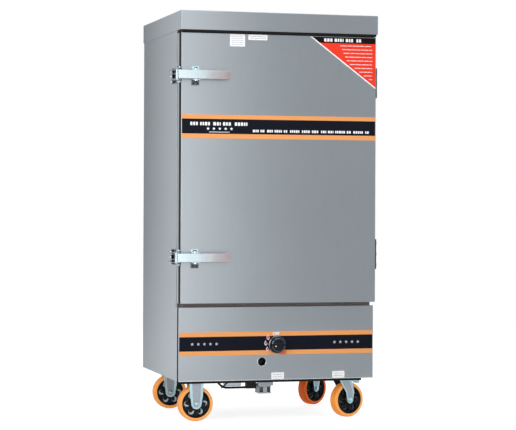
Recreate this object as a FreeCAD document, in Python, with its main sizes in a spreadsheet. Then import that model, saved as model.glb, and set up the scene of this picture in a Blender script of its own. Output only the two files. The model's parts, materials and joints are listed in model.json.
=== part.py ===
import FreeCAD, Part
import math
import os
import Sketcher

# Rice steamer cabinet on four casters, in millimetres.
# The origin is on the floor under the middle of the cabinet, X runs to the right,
# Y runs from the front to the back and Z runs up.

VECTOR = FreeCAD.Vector
PARTS_FOLDER = "parts"
CLOSE = 0.01
ALIGNED = 0.9
DEPTHWISE = VECTOR(0, 1, 0)
UP = VECTOR(0, 0, 1)

TRAY_COUNT = 10
DECK_SLOTS = 6
LOUVRE_ROWS = 4
PORT_COUNT = 10
SPOKE_COUNT = 6

doc = FreeCAD.newDocument("rice_steamer_cabinet")
sheet = doc.addObject("Spreadsheet::Sheet", "sizes")
kept = []


# A size is a value together with the sheet expression that gives it
class Size:
    def __init__(self, value, text):
        self.value = float(value)
        self.text = text

    def __add__(self, other):
        return joined(self, "+", other)

    def __radd__(self, other):
        return joined(other, "+", self)

    def __sub__(self, other):
        return joined(self, "-", other)

    def __rsub__(self, other):
        return joined(other, "-", self)

    def __mul__(self, other):
        return joined(self, "*", other)

    def __rmul__(self, other):
        return joined(other, "*", self)

    def __truediv__(self, other):
        return joined(self, "/", other)

    def __neg__(self):
        return Size(-self.value, "(-" + self.text + ")")


def as_size(number):
    if isinstance(number, Size):
        return number
    return Size(number, "(" + repr(float(number)) + ")")


def joined(left, sign, right):
    a = as_size(left)
    b = as_size(right)
    results = {
        "+": a.value + b.value,
        "-": a.value - b.value,
        "*": a.value * b.value,
    }
    value = a.value / b.value if sign == "/" else results[sign]
    return Size(value, "(" + a.text + " " + sign + " " + b.text + ")")


def size(alias, value):
    row = str(len(sheet_rows) + 1)
    sheet_rows.append(alias)
    sheet.set("A" + row, alias)
    sheet.set("B" + row, str(value))
    sheet.setAlias("B" + row, alias)
    return Size(value, "sizes." + alias)


sheet_rows = []

# Cabinet
body_width = size("body_width", 720)
body_depth = size("body_depth", 560)
front_plane = size("front_plane", -262)
skirt_drop = size("skirt_drop", 8)
body_height = size("body_height", 1235)
gauge = size("gauge", 1)
bend = size("bend", 1.5)
return_width = size("return_width", 18)
back_return = size("back_return", 25)
lid_height = size("lid_height", 67)
lid_overhang = size("lid_overhang", 3)
lid_reach = size("lid_reach", 78)
lid_flange = size("lid_flange", 24)
louvre_offset = size("louvre_offset", 150)
louvre_rise = size("louvre_rise", 86)
louvre_pitch = size("louvre_pitch", 28)
louvre_length = size("louvre_length", 90)
louvre_radius = size("louvre_radius", 9)

# Front panel
panel_height = size("panel_height", 262)
panel_depth = size("panel_depth", 44)
knob_offset = size("knob_offset", -2)
knob_drop = size("knob_drop", 135.5)
lighting_offset = size("lighting_offset", -56)
lighting_rise = size("lighting_rise", 66)
lighting_hole = size("lighting_hole", 15)

# Chamber
side_wall = size("side_wall", 45)
rear_wall = size("rear_wall", 60)
top_wall = size("top_wall", 38)
sill = size("sill", 40)
ledge = size("ledge", 15)
tank_depth = size("tank_depth", 118)
tank_gauge = size("tank_gauge", 1.5)
tank_gap = size("tank_gap", 20)
slot_inset = size("slot_inset", 32)
slot_width = size("slot_width", 14)

# Trays
first_shelf = size("first_shelf", 66)
last_shelf = size("last_shelf", 40)
rail_leg = size("rail_leg", 20)
rail_lip = size("rail_lip", 15)
rail_gauge = size("rail_gauge", 1.5)
upright_width = size("upright_width", 22)
upright_gauge = size("upright_gauge", 2)
tray_height = size("tray_height", 48)
tray_rim = size("tray_rim", 12)
tray_gauge = size("tray_gauge", 1.2)
tray_slope = size("tray_slope", 5)
tray_play = size("tray_play", 3)
rack_inset = size("rack_inset", 55)
tray_setback = size("tray_setback", 35)

# Door
door_gap = size("door_gap", 13)
lid_gap = size("lid_gap", 9)
door_inset = size("door_inset", 1)
door_depth = size("door_depth", 56)
gasket_depth = size("gasket_depth", 12)
gasket_margin = size("gasket_margin", 3)
gasket_play = size("gasket_play", 0.3)
field_height = size("field_height", 8)
field_gap = size("field_gap", 8)
foam_play = size("foam_play", 0.5)
gasket_inset = size("gasket_inset", 3)

# Hinges
hinge_offset = size("hinge_offset", 4.5)
hinge_forward = size("hinge_forward", 5)
hinge_length = size("hinge_length", 108)
hinge_drop = size("hinge_drop", 174)
hinge_rise = size("hinge_rise", 447)
knuckle_radius = size("knuckle_radius", 5)
pin_radius = size("pin_radius", 2.5)
pin_play = size("pin_play", 0.05)
leaf_gauge = size("leaf_gauge", 2.5)
leaf_width = size("leaf_width", 34)
leaf_tongue = size("leaf_tongue", 4)
knuckle_gap = size("knuckle_gap", 0.5)

# Latches
latch_drop = size("latch_drop", 158)
latch_rise = size("latch_rise", 437)
latch_pivot_in = size("latch_pivot_in", 50)
latch_pivot_out = size("latch_pivot_out", 13)
bracket_width = size("bracket_width", 27)
bracket_gauge = size("bracket_gauge", 2.5)
latch_pin_radius = size("latch_pin_radius", 4)
latch_head_radius = size("latch_head_radius", 7)
latch_head = size("latch_head", 4)
lever_height = size("lever_height", 30)
lever_length = size("lever_length", 187)
lever_gauge = size("lever_gauge", 8)
lever_play = size("lever_play", 1)
lever_round = size("lever_round", 1.5)
lever_lip = size("lever_lip", 2)
lever_tail = size("lever_tail", 4.3)
lever_front = size("lever_front", 15)
lever_boss = size("lever_boss", 9)
leg_gauge = size("leg_gauge", 3.5)
leg_clear = size("leg_clear", 8.2)
leg_reach = size("leg_reach", 14)
roller_radius = size("roller_radius", 4)
roller_pin_radius = size("roller_pin_radius", 2)
roller_play = size("roller_play", 0.4)
roller_back = size("roller_back", 9)
keeper_depth = size("keeper_depth", 60)
keeper_height = size("keeper_height", 56)
keeper_gauge = size("keeper_gauge", 2.5)
keeper_edge = size("keeper_edge", 1.5)

# Gas control
knob_radius = size("knob_radius", 31)
knob_skirt = size("knob_skirt", 6)
knob_core = size("knob_core", 25)
knob_depth = size("knob_depth", 32)
knob_grip = size("knob_grip", 13)
knob_clear = size("knob_clear", 4)
spindle_radius = size("spindle_radius", 4)
spindle_play = size("spindle_play", 0.5)
spindle_length = size("spindle_length", 48)
cock_width = size("cock_width", 34)
cock_depth = size("cock_depth", 36)
cock_gap = size("cock_gap", 16)
seat_gap = size("seat_gap", 4)
cock_collar = size("cock_collar", 6)
cock_bore = size("cock_bore", 24)
seat_radius = size("seat_radius", 8)
seat_gauge = size("seat_gauge", 2)

# Burner and gas way
pipe_radius = size("pipe_radius", 10.7)
pipe_wall = size("pipe_wall", 2.6)
pipe_play = size("pipe_play", 0.5)
outlet_setback = size("outlet_setback", 68)
pipe_offset = size("pipe_offset", -230)
pipe_lift = size("pipe_lift", 64)
rear_reach = size("rear_reach", 60)
fire_setback = size("fire_setback", 85)
fire_gap = size("fire_gap", 12)
rail_inset = size("rail_inset", 40)
port_gap = size("port_gap", 6)
burner_bar = size("burner_bar", 34)
burner_pitch = size("burner_pitch", 95)
burner_height = size("burner_height", 30)
port_strip = size("port_strip", 16)
port_height = size("port_height", 6)
mixer_offset = size("mixer_offset", -14.5)
mixer_setback = size("mixer_setback", 88)
mixer_width = size("mixer_width", 44.5)
mixer_depth = size("mixer_depth", 56)
mixer_drop = size("mixer_drop", 66.5)
mixer_height = size("mixer_height", 30)
neck_radius = size("neck_radius", 17)
air_slot_width = size("air_slot_width", 15)
air_slot_height = size("air_slot_height", 20)
feed_radius = size("feed_radius", 4)
feed_rise = size("feed_rise", 34)
feed_left = size("feed_left", -193)
feed_drop = size("feed_drop", 43)
feed_bend = size("feed_bend", 40)
neck_setback = size("neck_setback", 14)
bracket_side = size("bracket_side", 18)
bracket_lip = size("bracket_lip", 8)
bracket_setback = size("bracket_setback", 46)
fitting_radius = size("fitting_radius", 5)
fitting_length = size("fitting_length", 11)
injector_length = size("injector_length", 37)
injector_side = size("injector_side", 20)
injector_drop = size("injector_drop", 4)

# Flue, water and drain
flue_width = size("flue_width", 120)
flue_depth = size("flue_depth", 44)
flue_drop = size("flue_drop", 128)
spout_height = size("spout_height", 80)
vent_radius = size("vent_radius", 14)
vent_offset = size("vent_offset", 210)
vent_drop = size("vent_drop", 70)
float_offset = size("float_offset", 190)
float_width = size("float_width", 130)
float_depth = size("float_depth", 52)
float_height = size("float_height", 92)
float_lift = size("float_lift", 224)
level_radius = size("level_radius", 9)
level_rise = size("level_rise", 28)
valve_radius = size("valve_radius", 10.5)
valve_drop = size("valve_drop", 26)
valve_inside = size("valve_inside", 16)
valve_outside = size("valve_outside", 24)
valve_ear = size("valve_ear", 14)
arm_half = size("arm_half", 2.5)
cover_drop = size("cover_drop", 8)
arm_length = size("arm_length", 44)
float_block = size("float_block", 34)
drain_offset = size("drain_offset", 255)
drain_radius = size("drain_radius", 13)
drain_lift = size("drain_lift", 67)
drain_bore = size("drain_bore", 10)
drain_setback = size("drain_setback", 50)
drain_chest = size("drain_chest", 17)
drain_handle = size("drain_handle", 85)
stem_height = size("stem_height", 4)
valve_gap = size("valve_gap", 6)
throat_drop = size("throat_drop", 12)
throat_height = size("throat_height", 64)

# Base frame and casters
caster_rise = size("caster_rise", 31)
frame_leg = size("frame_leg", 40)
frame_gauge = size("frame_gauge", 3)
gusset_length = size("gusset_length", 150)
gusset_width = size("gusset_width", 135)
rail_width = size("rail_width", 34)
wheel_radius = size("wheel_radius", 62.5)
tread_width = size("tread_width", 36)
hub_radius = size("hub_radius", 49)
hub_boss = size("hub_boss", 16)
hub_width = size("hub_width", 38)
hub_edge = size("hub_edge", 26)
window_root = size("window_root", 20)
window_rim = size("window_rim", 41.5)
window_lead = size("window_lead", 5)
window_sweep = size("window_sweep", 20)
axle_radius = size("axle_radius", 6)
axle_play = size("axle_play", 0.1)
axle_head = size("axle_head", 9.5)
fork_gauge = size("fork_gauge", 3)
fork_gap = size("fork_gap", 21)
fork_top = size("fork_top", 53)
rigid_foot = size("rigid_foot", 19)
rigid_side = size("rigid_side", 23.5)
swivel_foot = size("swivel_foot", 13)
swivel_side = size("swivel_side", 18)
fork_shoulder = size("fork_shoulder", 28)
plate_length = size("plate_length", 100)
plate_width = size("plate_width", 80)
plate_gauge = size("plate_gauge", 4)
race_radius = size("race_radius", 31)
race_height = size("race_height", 9)
race_gap = size("race_gap", 0.5)
rigid_inset = size("rigid_inset", 82)
swivel_inset = size("swivel_inset", 88)
front_caster = size("front_caster", 44)
rear_caster = size("rear_caster", 98)
trail = size("trail", 20)
front_swivel_turn = size("front_swivel_turn", 17)
rear_swivel_turn = size("rear_swivel_turn", 30)
pedal_width = size("pedal_width", 26)
pedal_length = size("pedal_length", 34)
pedal_gauge = size("pedal_gauge", 2.5)
pedal_pin_radius = size("pedal_pin_radius", 2.5)
pedal_play = size("pedal_play", 0.4)
pedal_sleeve = size("pedal_sleeve", 3.6)
pedal_line = size("pedal_line", 20)
pedal_ear = size("pedal_ear", 12)
kingpin_radius = size("kingpin_radius", 12)
race_drop = size("race_drop", 5)

doc.recompute()

# Places worked out from the sizes
half = body_width / 2
back_plane = front_plane + body_depth
caster_height = 2 * wheel_radius + caster_rise
skirt_height = caster_height - skirt_drop
body_top = skirt_height + body_height
hinge_high = body_top - hinge_drop
hinge_low = skirt_height + hinge_rise
latch_high = body_top - latch_drop
latch_low = skirt_height + latch_rise
pipe_height = skirt_height + pipe_lift
mixer_bottom = caster_height - mixer_drop
feed_low = caster_height - feed_drop
flue_top = body_top - flue_drop
float_base = skirt_height + float_lift
drain_height = skirt_height + drain_lift
panel_top = skirt_height + panel_height
panel_front = front_plane - panel_depth
door_bottom = panel_top + door_gap
door_top = body_top - lid_gap
door_half = half - door_inset
door_back = front_plane - gasket_depth
door_front = door_back - door_depth
chamber_half = half - side_wall
chamber_back = back_plane - rear_wall
chamber_floor = panel_top + sill
chamber_top = body_top - top_wall
tank_bottom = chamber_floor - tank_depth
frame_in = half - return_width
knob_height = panel_top - knob_drop
lighting_height = skirt_height + lighting_rise
frame_floor = caster_height + frame_gauge
pitch = (chamber_top - chamber_floor - first_shelf - last_shelf) / (TRAY_COUNT - 1)
chamber_middle = (front_plane + chamber_back) / 2
burner_floor = frame_floor + frame_gauge
burner_front = front_plane + fire_setback + fire_gap
burner_back = chamber_back - tank_gap - 2 * fire_gap
rear_end = back_plane + rear_reach
louvre_base = skirt_height + louvre_rise
cock_front = panel_front + cock_gap
cock_middle = cock_front + cock_depth / 2
outlet_line = front_plane + outlet_setback
mixer_line = front_plane + mixer_setback
neck_line = mixer_line + neck_setback
feed_top = caster_height + feed_rise
throat_top = tank_bottom - throat_drop
throat_base = throat_top - throat_height
vent_height = chamber_top - vent_drop
level_height = float_base + level_rise
valve_line = back_plane + float_depth / 2
valve_height = float_base + float_height - valve_drop
drain_back = chamber_back - drain_setback
hinge_x = half + hinge_offset
hinge_y = front_plane - hinge_forward
pivot_x = latch_pivot_in - door_half
pivot_y = door_front - latch_pivot_out
leg_inner = -door_half - leg_clear
leg_outer = leg_inner - leg_gauge
roller_x = leg_outer - roller_play - roller_radius
roller_y = pivot_y + roller_back
race_base = caster_height - plate_gauge - race_drop
pedal_height = race_base - race_gap - race_height - fork_gauge - pedal_ear / 3


# Helpers

def bind(thing, name, amount):
    thing.setExpression(name, as_size(amount).text)


def place(thing, x, y, z):
    for letter, amount in (("x", x), ("y", y), ("z", z)):
        bind(thing, "Placement.Base." + letter, amount)
    return thing


def box(x0, x1, y0, y1, z0, z1):
    block = doc.addObject("Part::Box", "block")
    bind(block, "Length", x1 - as_size(x0))
    bind(block, "Width", y1 - as_size(y0))
    bind(block, "Height", z1 - as_size(z0))
    return place(block, x0, y0, z0)


def turned_to(axis):
    turns = {
        "x": FreeCAD.Rotation(VECTOR(0, 1, 0), 90),
        "y": FreeCAD.Rotation(VECTOR(1, 0, 0), -90),
        "z": FreeCAD.Rotation(),
    }
    return FreeCAD.Placement(VECTOR(), turns[axis])


def rod(axis, x, y, z, radius, length):
    cylinder = doc.addObject("Part::Cylinder", "rod")
    bind(cylinder, "Radius", radius)
    bind(cylinder, "Height", length)
    cylinder.Placement = turned_to(axis)
    return place(cylinder, x, y, z)


def fused(*pieces):
    union = doc.addObject("Part::MultiFuse", "union")
    union.Shapes = list(pieces)
    union.Refine = True
    return union


def grouped(*pieces):
    group = doc.addObject("Part::Compound", "group")
    group.Links = list(pieces)
    return group


def cut(base, *tools):
    rest = doc.addObject("Part::Cut", "rest")
    rest.Base = base
    rest.Tool = tools[0] if len(tools) == 1 else fused(*tools)
    rest.Refine = True
    return rest


def common(base, tool):
    overlap = doc.addObject("Part::Common", "overlap")
    overlap.Base = base
    overlap.Tool = tool
    overlap.Refine = True
    return overlap


def mirrored(piece):
    image = doc.addObject("Part::Mirroring", "image")
    image.Source = piece
    image.Normal = VECTOR(1, 0, 0)
    return image


def shell(x0, x1, y0, y1, z0, z1, wall, opening):
    outer = box(x0, x1, y0, y1, z0, z1)
    ways = {side: wall for side in ("left", "right", "front", "back", "bottom", "top")}
    for side in opening.split():
        ways[side] = -wall
    inner = box(
        x0 + ways["left"], x1 - ways["right"], y0 + ways["front"], y1 - ways["back"],
        z0 + ways["bottom"], z1 - ways["top"],
    )
    return cut(outer, inner)


def edges_where(thing, test):
    doc.recompute()
    return [
        "Edge" + str(number + 1)
        for number, edge in enumerate(thing.Shape.Edges)
        if test(edge, edge.valueAt((edge.FirstParameter + edge.LastParameter) / 2))
    ]


def ends(edge):
    return edge.valueAt(edge.FirstParameter), edge.valueAt(edge.LastParameter)


def is_line(edge):
    start, end = ends(edge)
    return abs((end - start).Length - edge.Length) < CLOSE


def runs_along(edge, axis):
    start, end = ends(edge)
    return is_line(edge) and abs((end - start).dot(axis)) > ALIGNED * edge.Length


def value(amount):
    return as_size(amount).value


def near(a, b):
    return abs(a - value(b)) < CLOSE


def new_body(name):
    return doc.addObject("PartDesign::Body", name)


def origin_part(body, role):
    return [part for part in body.Origin.OriginFeatures if part.Role == role][0]


def constrain_point(sketch, geometry, end, u, v):
    for kind, amount in (("DistanceX", u), ("DistanceY", v)):
        spot = as_size(amount)
        index = sketch.addConstraint(
            Sketcher.Constraint(kind, -1, 1, geometry, end, spot.value)
        )
        sketch.setExpression("Constraints[" + str(index) + "]", spot.text)


def add_loop(sketch, points):
    count = len(points)
    spots = [VECTOR(as_size(u).value, as_size(v).value, 0) for u, v in points]
    lines = []
    for number in range(count):
        end = spots[(number + 1) % count]
        lines.append(sketch.addGeometry(Part.LineSegment(spots[number], end), False))
    for number in range(count):
        following = lines[(number + 1) % count]
        sketch.addConstraint(Sketcher.Constraint("Coincident", lines[number], 2, following, 1))
    for line, (u, v) in zip(lines, points):
        constrain_point(sketch, line, 1, u, v)


def add_circle(sketch, u, v, radius):
    centre = VECTOR(as_size(u).value, as_size(v).value, 0)
    circle = sketch.addGeometry(
        Part.Circle(centre, VECTOR(0, 0, 1), as_size(radius).value), False
    )
    constrain_point(sketch, circle, 3, u, v)
    index = sketch.addConstraint(
        Sketcher.Constraint("Radius", circle, as_size(radius).value)
    )
    sketch.setExpression("Constraints[" + str(index) + "]", as_size(radius).text)


def sketch_on(body, plane, height, loops, circles=()):
    sketch = body.newObject("Sketcher::SketchObject", "outline")
    sketch.AttachmentSupport = [(origin_part(body, plane), "")]
    sketch.MapMode = "FlatFace"
    bind(sketch, "AttachmentOffset.Base.z", height)
    for loop in loops:
        add_loop(sketch, loop)
    for u, v, radius in circles:
        add_circle(sketch, u, v, radius)
    return sketch


def rectangle(u0, u1, v0, v1):
    return [(u0, v0), (u1, v0), (u1, v1), (u0, v1)]


def pad(body, sketch, length, slope=None, reverse=False):
    block = body.newObject("PartDesign::Pad", "pad")
    block.Profile = sketch
    block.Reversed = reverse
    bind(block, "Length", length)
    if slope is not None:
        bind(block, "TaperAngle", slope)
    return block


def pocket(body, sketch, length, slope=None, reverse=False):
    hollow = body.newObject("PartDesign::Pocket", "pocket")
    hollow.Profile = sketch
    hollow.Reversed = reverse
    bind(hollow, "Length", length)
    if slope is not None:
        bind(hollow, "TaperAngle", slope)
    return hollow


def revolved(body, sketch, axis_role):
    turned = body.newObject("PartDesign::Revolution", "revolution")
    turned.Profile = sketch
    turned.ReferenceAxis = (origin_part(body, axis_role), [""])
    turned.Angle = 360
    return turned


def rounded(body, feature, radius, test):
    fillet = body.newObject("PartDesign::Fillet", "fillet")
    fillet.Base = (feature, edges_where(feature, test))
    bind(fillet, "Radius", radius)
    return fillet


def keep(piece, node):
    piece.Label = node
    kept.append(piece)
    return piece


# Casing

def side_panel():
    body = new_body("side_sheet")
    inner = gauge - half
    profile = [
        (return_width - half, front_plane), (-half, front_plane),
        (-half, back_plane), (back_return - half, back_plane),
        (back_return - half, back_plane - gauge), (inner, back_plane - gauge),
        (inner, front_plane + gauge), (return_width - half, front_plane + gauge),
    ]
    sketch = sketch_on(body, "XY_Plane", skirt_height, [profile])
    folded = pad(body, sketch, body_top - skirt_height)
    outside = rounded(
        body, folded, bend + gauge,
        lambda edge, middle: runs_along(edge, UP) and near(middle.x, -half),
    )
    rounded(
        body, outside, bend,
        lambda edge, middle: runs_along(edge, UP) and near(middle.x, inner),
    )
    return body


def front_pan(name, x_half, z0, z1, y_back, depth):
    body = new_body(name)
    front = y_back - depth
    outside = rectangle(-x_half, x_half, z0, z1)
    block = pad(body, sketch_on(body, "XZ_Plane", -y_back, [outside]), depth)
    rounded(
        body, block, bend + gauge,
        lambda edge, middle: near(middle.y, front) or runs_along(edge, DEPTHWISE),
    )
    inside = rectangle(gauge - x_half, x_half - gauge, z0 + gauge, z1 - gauge)
    pocket(body, sketch_on(body, "XZ_Plane", -y_back, [inside]), depth - gauge, None, True)
    return body


def top_cover():
    body = new_body("top_pan")
    side = half + lid_overhang
    front = front_plane - lid_reach
    outside = rectangle(-side, side, front, back_plane)
    block = pad(body, sketch_on(body, "XY_Plane", body_top, [outside]), lid_height)
    rounded(
        body, block, bend + gauge, lambda edge, middle: not near(middle.z, body_top)
    )
    inside = rectangle(gauge - side, side - gauge, front + gauge, back_plane - gauge)
    pocket(
        body, sketch_on(body, "XY_Plane", body_top, [inside]), lid_height - gauge, None, True
    )
    hatch = rectangle(
        lid_flange - half, half - lid_flange, front_plane + lid_flange, back_plane - lid_flange
    )
    pad(body, sketch_on(body, "XY_Plane", body_top, [inside, hatch]), gauge)
    return body


def louvre_places():
    return [
        (column * louvre_offset, louvre_base + row * louvre_pitch)
        for column in (-1, 1)
        for row in range(LOUVRE_ROWS)
    ]


def back_panel():
    face = back_plane - gauge
    inner = face - gauge
    side = half - gauge - bend
    pieces = [box(-side, side, inner, face, skirt_height, body_top)]
    ways = []
    for x, z in louvre_places():
        left = x - louvre_length / 2
        right = x + louvre_length / 2
        hood = rod("x", left, inner, z, louvre_radius, louvre_length)
        outside = box(left, right, inner, face + louvre_radius, z, z + louvre_radius)
        pieces.append(common(hood, outside))
        hollow = rod(
            "x", left + gauge, inner, z, louvre_radius - gauge, louvre_length - 2 * gauge
        )
        inside = box(
            left + gauge, right - gauge, inner - gauge, face + louvre_radius,
            z - gauge, z + louvre_radius,
        )
        ways.append(common(hollow, inside))
    ways.append(box(
        -flue_width / 2 - pipe_play, flue_width / 2 + pipe_play, inner - gauge, back_plane,
        flue_top - spout_height - pipe_play, flue_top + pipe_play,
    ))
    for x, z, radius in (
        (pipe_offset, pipe_height, pipe_radius), (vent_offset, vent_height, vent_radius),
        (float_offset, level_height, level_radius), (drain_offset, drain_height, drain_radius),
    ):
        ways.append(rod("y", x, inner - gauge, z, radius + pipe_play, 4 * gauge))
    return cut(fused(*pieces), *ways)


def base_frame():
    side = half - gauge
    front = front_plane + gauge + bend
    back = back_plane - gauge - bend
    top = caster_height + frame_leg
    ring = shell(-side, side, front, back, caster_height, top, frame_gauge, "top")
    opening = box(
        frame_leg - side, side - frame_leg, front + frame_leg, back - frame_leg,
        caster_height - gauge, top,
    )
    pieces = [cut(ring, opening)]
    for x in (-side, side - gusset_width):
        for y in (front, back - gusset_length):
            pieces.append(box(
                x, x + gusset_width, y, y + gusset_length, caster_height, frame_floor
            ))
    for y in (burner_front + rail_inset, burner_back - rail_inset - rail_width):
        pieces.append(box(-side, side, y, y + rail_width, frame_floor, burner_floor))
    return fused(*pieces)


# Chamber

def chamber_liner():
    wall = chamber_half + gauge
    lined = shell(
        -wall, wall, front_plane, chamber_back + gauge, chamber_floor, chamber_top + gauge,
        gauge, "front",
    )
    flange = box(
        -frame_in, frame_in, front_plane, front_plane + gauge, panel_top - return_width, body_top
    )
    mouth = box(
        -chamber_half, chamber_half, front_plane - gauge, front_plane + 2 * gauge,
        chamber_floor + gauge, chamber_top,
    )
    well = box(
        ledge - chamber_half, chamber_half - ledge, front_plane + 2 * ledge,
        chamber_back - ledge, chamber_floor - gauge, chamber_floor + 2 * gauge,
    )
    vent = rod(
        "y", vent_offset, chamber_back - gauge, vent_height, vent_radius - pipe_wall, 3 * gauge
    )
    return cut(fused(lined, flange), mouth, well, vent)


def insulation():
    side = half - gauge - foam_play
    wall = chamber_half + gauge + foam_play
    back = chamber_back + gauge + foam_play
    block = box(
        -side, side, front_plane + gauge + foam_play, back_plane - 2 * gauge - foam_play,
        chamber_floor, body_top - foam_play,
    )
    room = box(
        -wall, wall, front_plane, back, chamber_floor - gauge, chamber_top + gauge + foam_play
    )
    flue = box(
        -flue_width / 2 - foam_play, flue_width / 2 + foam_play, back - foam_play, back_plane,
        chamber_floor - gauge, flue_top + foam_play,
    )
    vent = rod("y", vent_offset, back - gauge, vent_height, vent_radius + foam_play, rear_wall)
    return cut(block, room, flue, vent)


def water_tank():
    side = chamber_half - tank_gap
    front = front_plane + 2 * tank_gap
    back = chamber_back - tank_gap
    pan = shell(-side, side, front, back, tank_bottom, chamber_floor, tank_gauge, "top")
    lip = tank_gap / 2
    rim = box(
        -side - lip, side + lip, front - lip, back + lip, chamber_floor - gauge, chamber_floor
    )
    room = box(
        tank_gauge - side, side - tank_gauge, front + tank_gauge, back - tank_gauge,
        chamber_floor - 2 * gauge, chamber_floor + gauge,
    )
    level = rod("y", float_offset, back - 2 * gauge, level_height, level_radius, 3 * gauge)
    drain = rod("z", drain_offset, drain_back, tank_bottom - gauge, drain_bore, 4 * gauge)
    return cut(fused(pan, rim), room, level, drain)


def steam_deck():
    side = chamber_half - upright_gauge
    front = front_plane + ledge
    back = chamber_back - gauge
    base = chamber_floor + gauge
    plate = box(-side, side, front, back, base, base + tank_gauge)
    step = (back - front) / (DECK_SLOTS + 1)
    slots = []
    for row in range(1, DECK_SLOTS + 1):
        y = front + row * step - slot_width / 2
        for left in (slot_inset - side, slot_inset / 2):
            right = left + side - slot_inset * 3 / 2
            slots.append(box(left, right, y, y + slot_width, base - gauge, base + 2 * tank_gauge))
    return cut(plate, *slots)


def shelf_height(level):
    return chamber_floor + first_shelf + level * pitch


def tray_rack():
    wall = -chamber_half
    inner = wall + upright_gauge
    pieces = []
    for y in (front_plane + rack_inset, chamber_back - rack_inset - upright_width):
        pieces.append(box(
            wall, inner, y, y + upright_width, chamber_floor + gauge, chamber_top - upright_width
        ))
    for level in range(TRAY_COUNT):
        shelf = shelf_height(level)
        front = front_plane + ledge
        back = chamber_back - ledge
        pieces.append(box(inner, inner + rail_leg, front, back, shelf - rail_gauge, shelf))
        pieces.append(box(inner, inner + rail_gauge, front, back, shelf - rail_lip, shelf))
    return fused(*pieces)


def rice_trays():
    body = new_body("tray_stack")
    body.AllowCompound = True
    bowl = chamber_half - upright_gauge - rail_leg - tray_play
    rim = chamber_half - upright_gauge - tray_play
    deep = (chamber_back - front_plane) / 2 - tray_setback
    opening = deep - tray_rim
    top = tray_height
    pad(
        body, sketch_on(body, "XY_Plane", top, [rectangle(-bowl, bowl, -opening, opening)]),
        tray_height, -tray_slope, True,
    )
    pad(
        body, sketch_on(body, "XY_Plane", top, [rectangle(-rim, rim, -deep, deep)]),
        tray_gauge, None, True,
    )
    clear = tray_gauge - bowl
    way = tray_gauge - opening
    pocket(
        body, sketch_on(body, "XY_Plane", top, [rectangle(clear, -clear, way, -way)]),
        tray_height - tray_gauge, -tray_slope,
    )
    doc.recompute()
    stack = body.newObject("PartDesign::LinearPattern", "stack")
    stack.Originals = []
    stack.TransformMode = "Whole shape"
    stack.Direction = (origin_part(body, "Z_Axis"), [""])
    bind(stack, "Length", pitch * (TRAY_COUNT - 1))
    stack.Occurrences = TRAY_COUNT
    body.Tip = stack
    return place(body, 0, chamber_middle, shelf_height(0) + tray_gauge - tray_height)


# Front panel and gas way

def control_panel():
    body = front_pan("panel_sheet", half, skirt_height, panel_top, front_plane, panel_depth)
    holes = [
        (knob_offset, knob_height, spindle_radius + spindle_play),
        (lighting_offset, lighting_height, lighting_hole),
    ]
    pocket(body, sketch_on(body, "XZ_Plane", -panel_front, [], holes), 2 * gauge)
    return body


def control_knob():
    body = new_body("knob_cap")
    base = -knob_clear
    face = base - knob_depth
    shoulder = face + knob_skirt
    profile = [
        (spindle_radius, base), (knob_radius, base), (knob_radius, base - knob_skirt),
        (knob_core, base - knob_skirt), (knob_core, shoulder), (0, shoulder),
        (0, shoulder + knob_skirt), (spindle_radius, shoulder + knob_skirt),
    ]
    revolved(body, sketch_on(body, "XY_Plane", 0, [profile]), "Y_Axis")
    grip = rectangle(-knob_core, knob_core, -knob_grip / 2, knob_grip / 2)
    pad(body, sketch_on(body, "XZ_Plane", -face, [grip]), knob_skirt, None, True)
    return body


def knob_spindle():
    start = panel_front - knob_clear - knob_depth + 2 * knob_skirt
    return rod("y", knob_offset, start, knob_height, spindle_radius, spindle_length)


def knob_spring_seat():
    front = panel_front + seat_gap
    disc = rod("y", knob_offset, front, knob_height, seat_radius, seat_gauge)
    bore = rod(
        "y", knob_offset, front - gauge, knob_height, spindle_radius + pin_play,
        seat_gauge + 2 * gauge,
    )
    return cut(disc, bore)


def gas_cock():
    front = cock_front
    side = cock_width / 2
    block = box(
        knob_offset - side, knob_offset + side, front, front + cock_depth,
        knob_height - side, knob_height + side,
    )
    ring = rod("y", knob_offset, front - cock_collar, knob_height, pipe_radius, cock_collar)
    bore = rod(
        "y", knob_offset, front - 2 * cock_collar, knob_height,
        spindle_radius + spindle_play, cock_bore,
    )
    return cut(fused(block, ring), bore)


def elbow(x, y, z, reach):
    return box(x - reach, x + reach, y - reach, y + reach, z - reach, z + reach)


def gas_inlet_pipe():
    reach = pipe_radius + pipe_wall
    stop = knob_offset - cock_width / 2
    pieces = [
        rod("y", pipe_offset, cock_middle, pipe_height, pipe_radius, rear_end - cock_middle),
        elbow(pipe_offset, cock_middle, pipe_height, reach),
        rod("z", pipe_offset, cock_middle, pipe_height, pipe_radius, knob_height - pipe_height),
        elbow(pipe_offset, cock_middle, knob_height, reach),
        rod("x", pipe_offset, cock_middle, knob_height, pipe_radius, stop - pipe_offset),
        rod("y", pipe_offset, back_plane, pipe_height, reach, cock_collar),
    ]
    bore = rod("y", pipe_offset, rear_end - rear_reach / 2, pipe_height,
               pipe_radius - pipe_wall, rear_reach)
    return cut(fused(*pieces), bore)


def gas_outlet_pipe():
    start = cock_front + cock_depth
    radius = feed_radius + pipe_wall / 2
    reach = radius + pipe_wall
    return fused(
        rod("y", knob_offset, start, knob_height, radius, outlet_line - start),
        elbow(knob_offset, outlet_line, knob_height, reach),
        rod("x", feed_left, outlet_line, knob_height, radius, knob_offset - feed_left),
        elbow(feed_left, outlet_line, knob_height, reach),
        rod("z", feed_left, outlet_line, feed_top, radius, knob_height - feed_top),
    )


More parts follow.
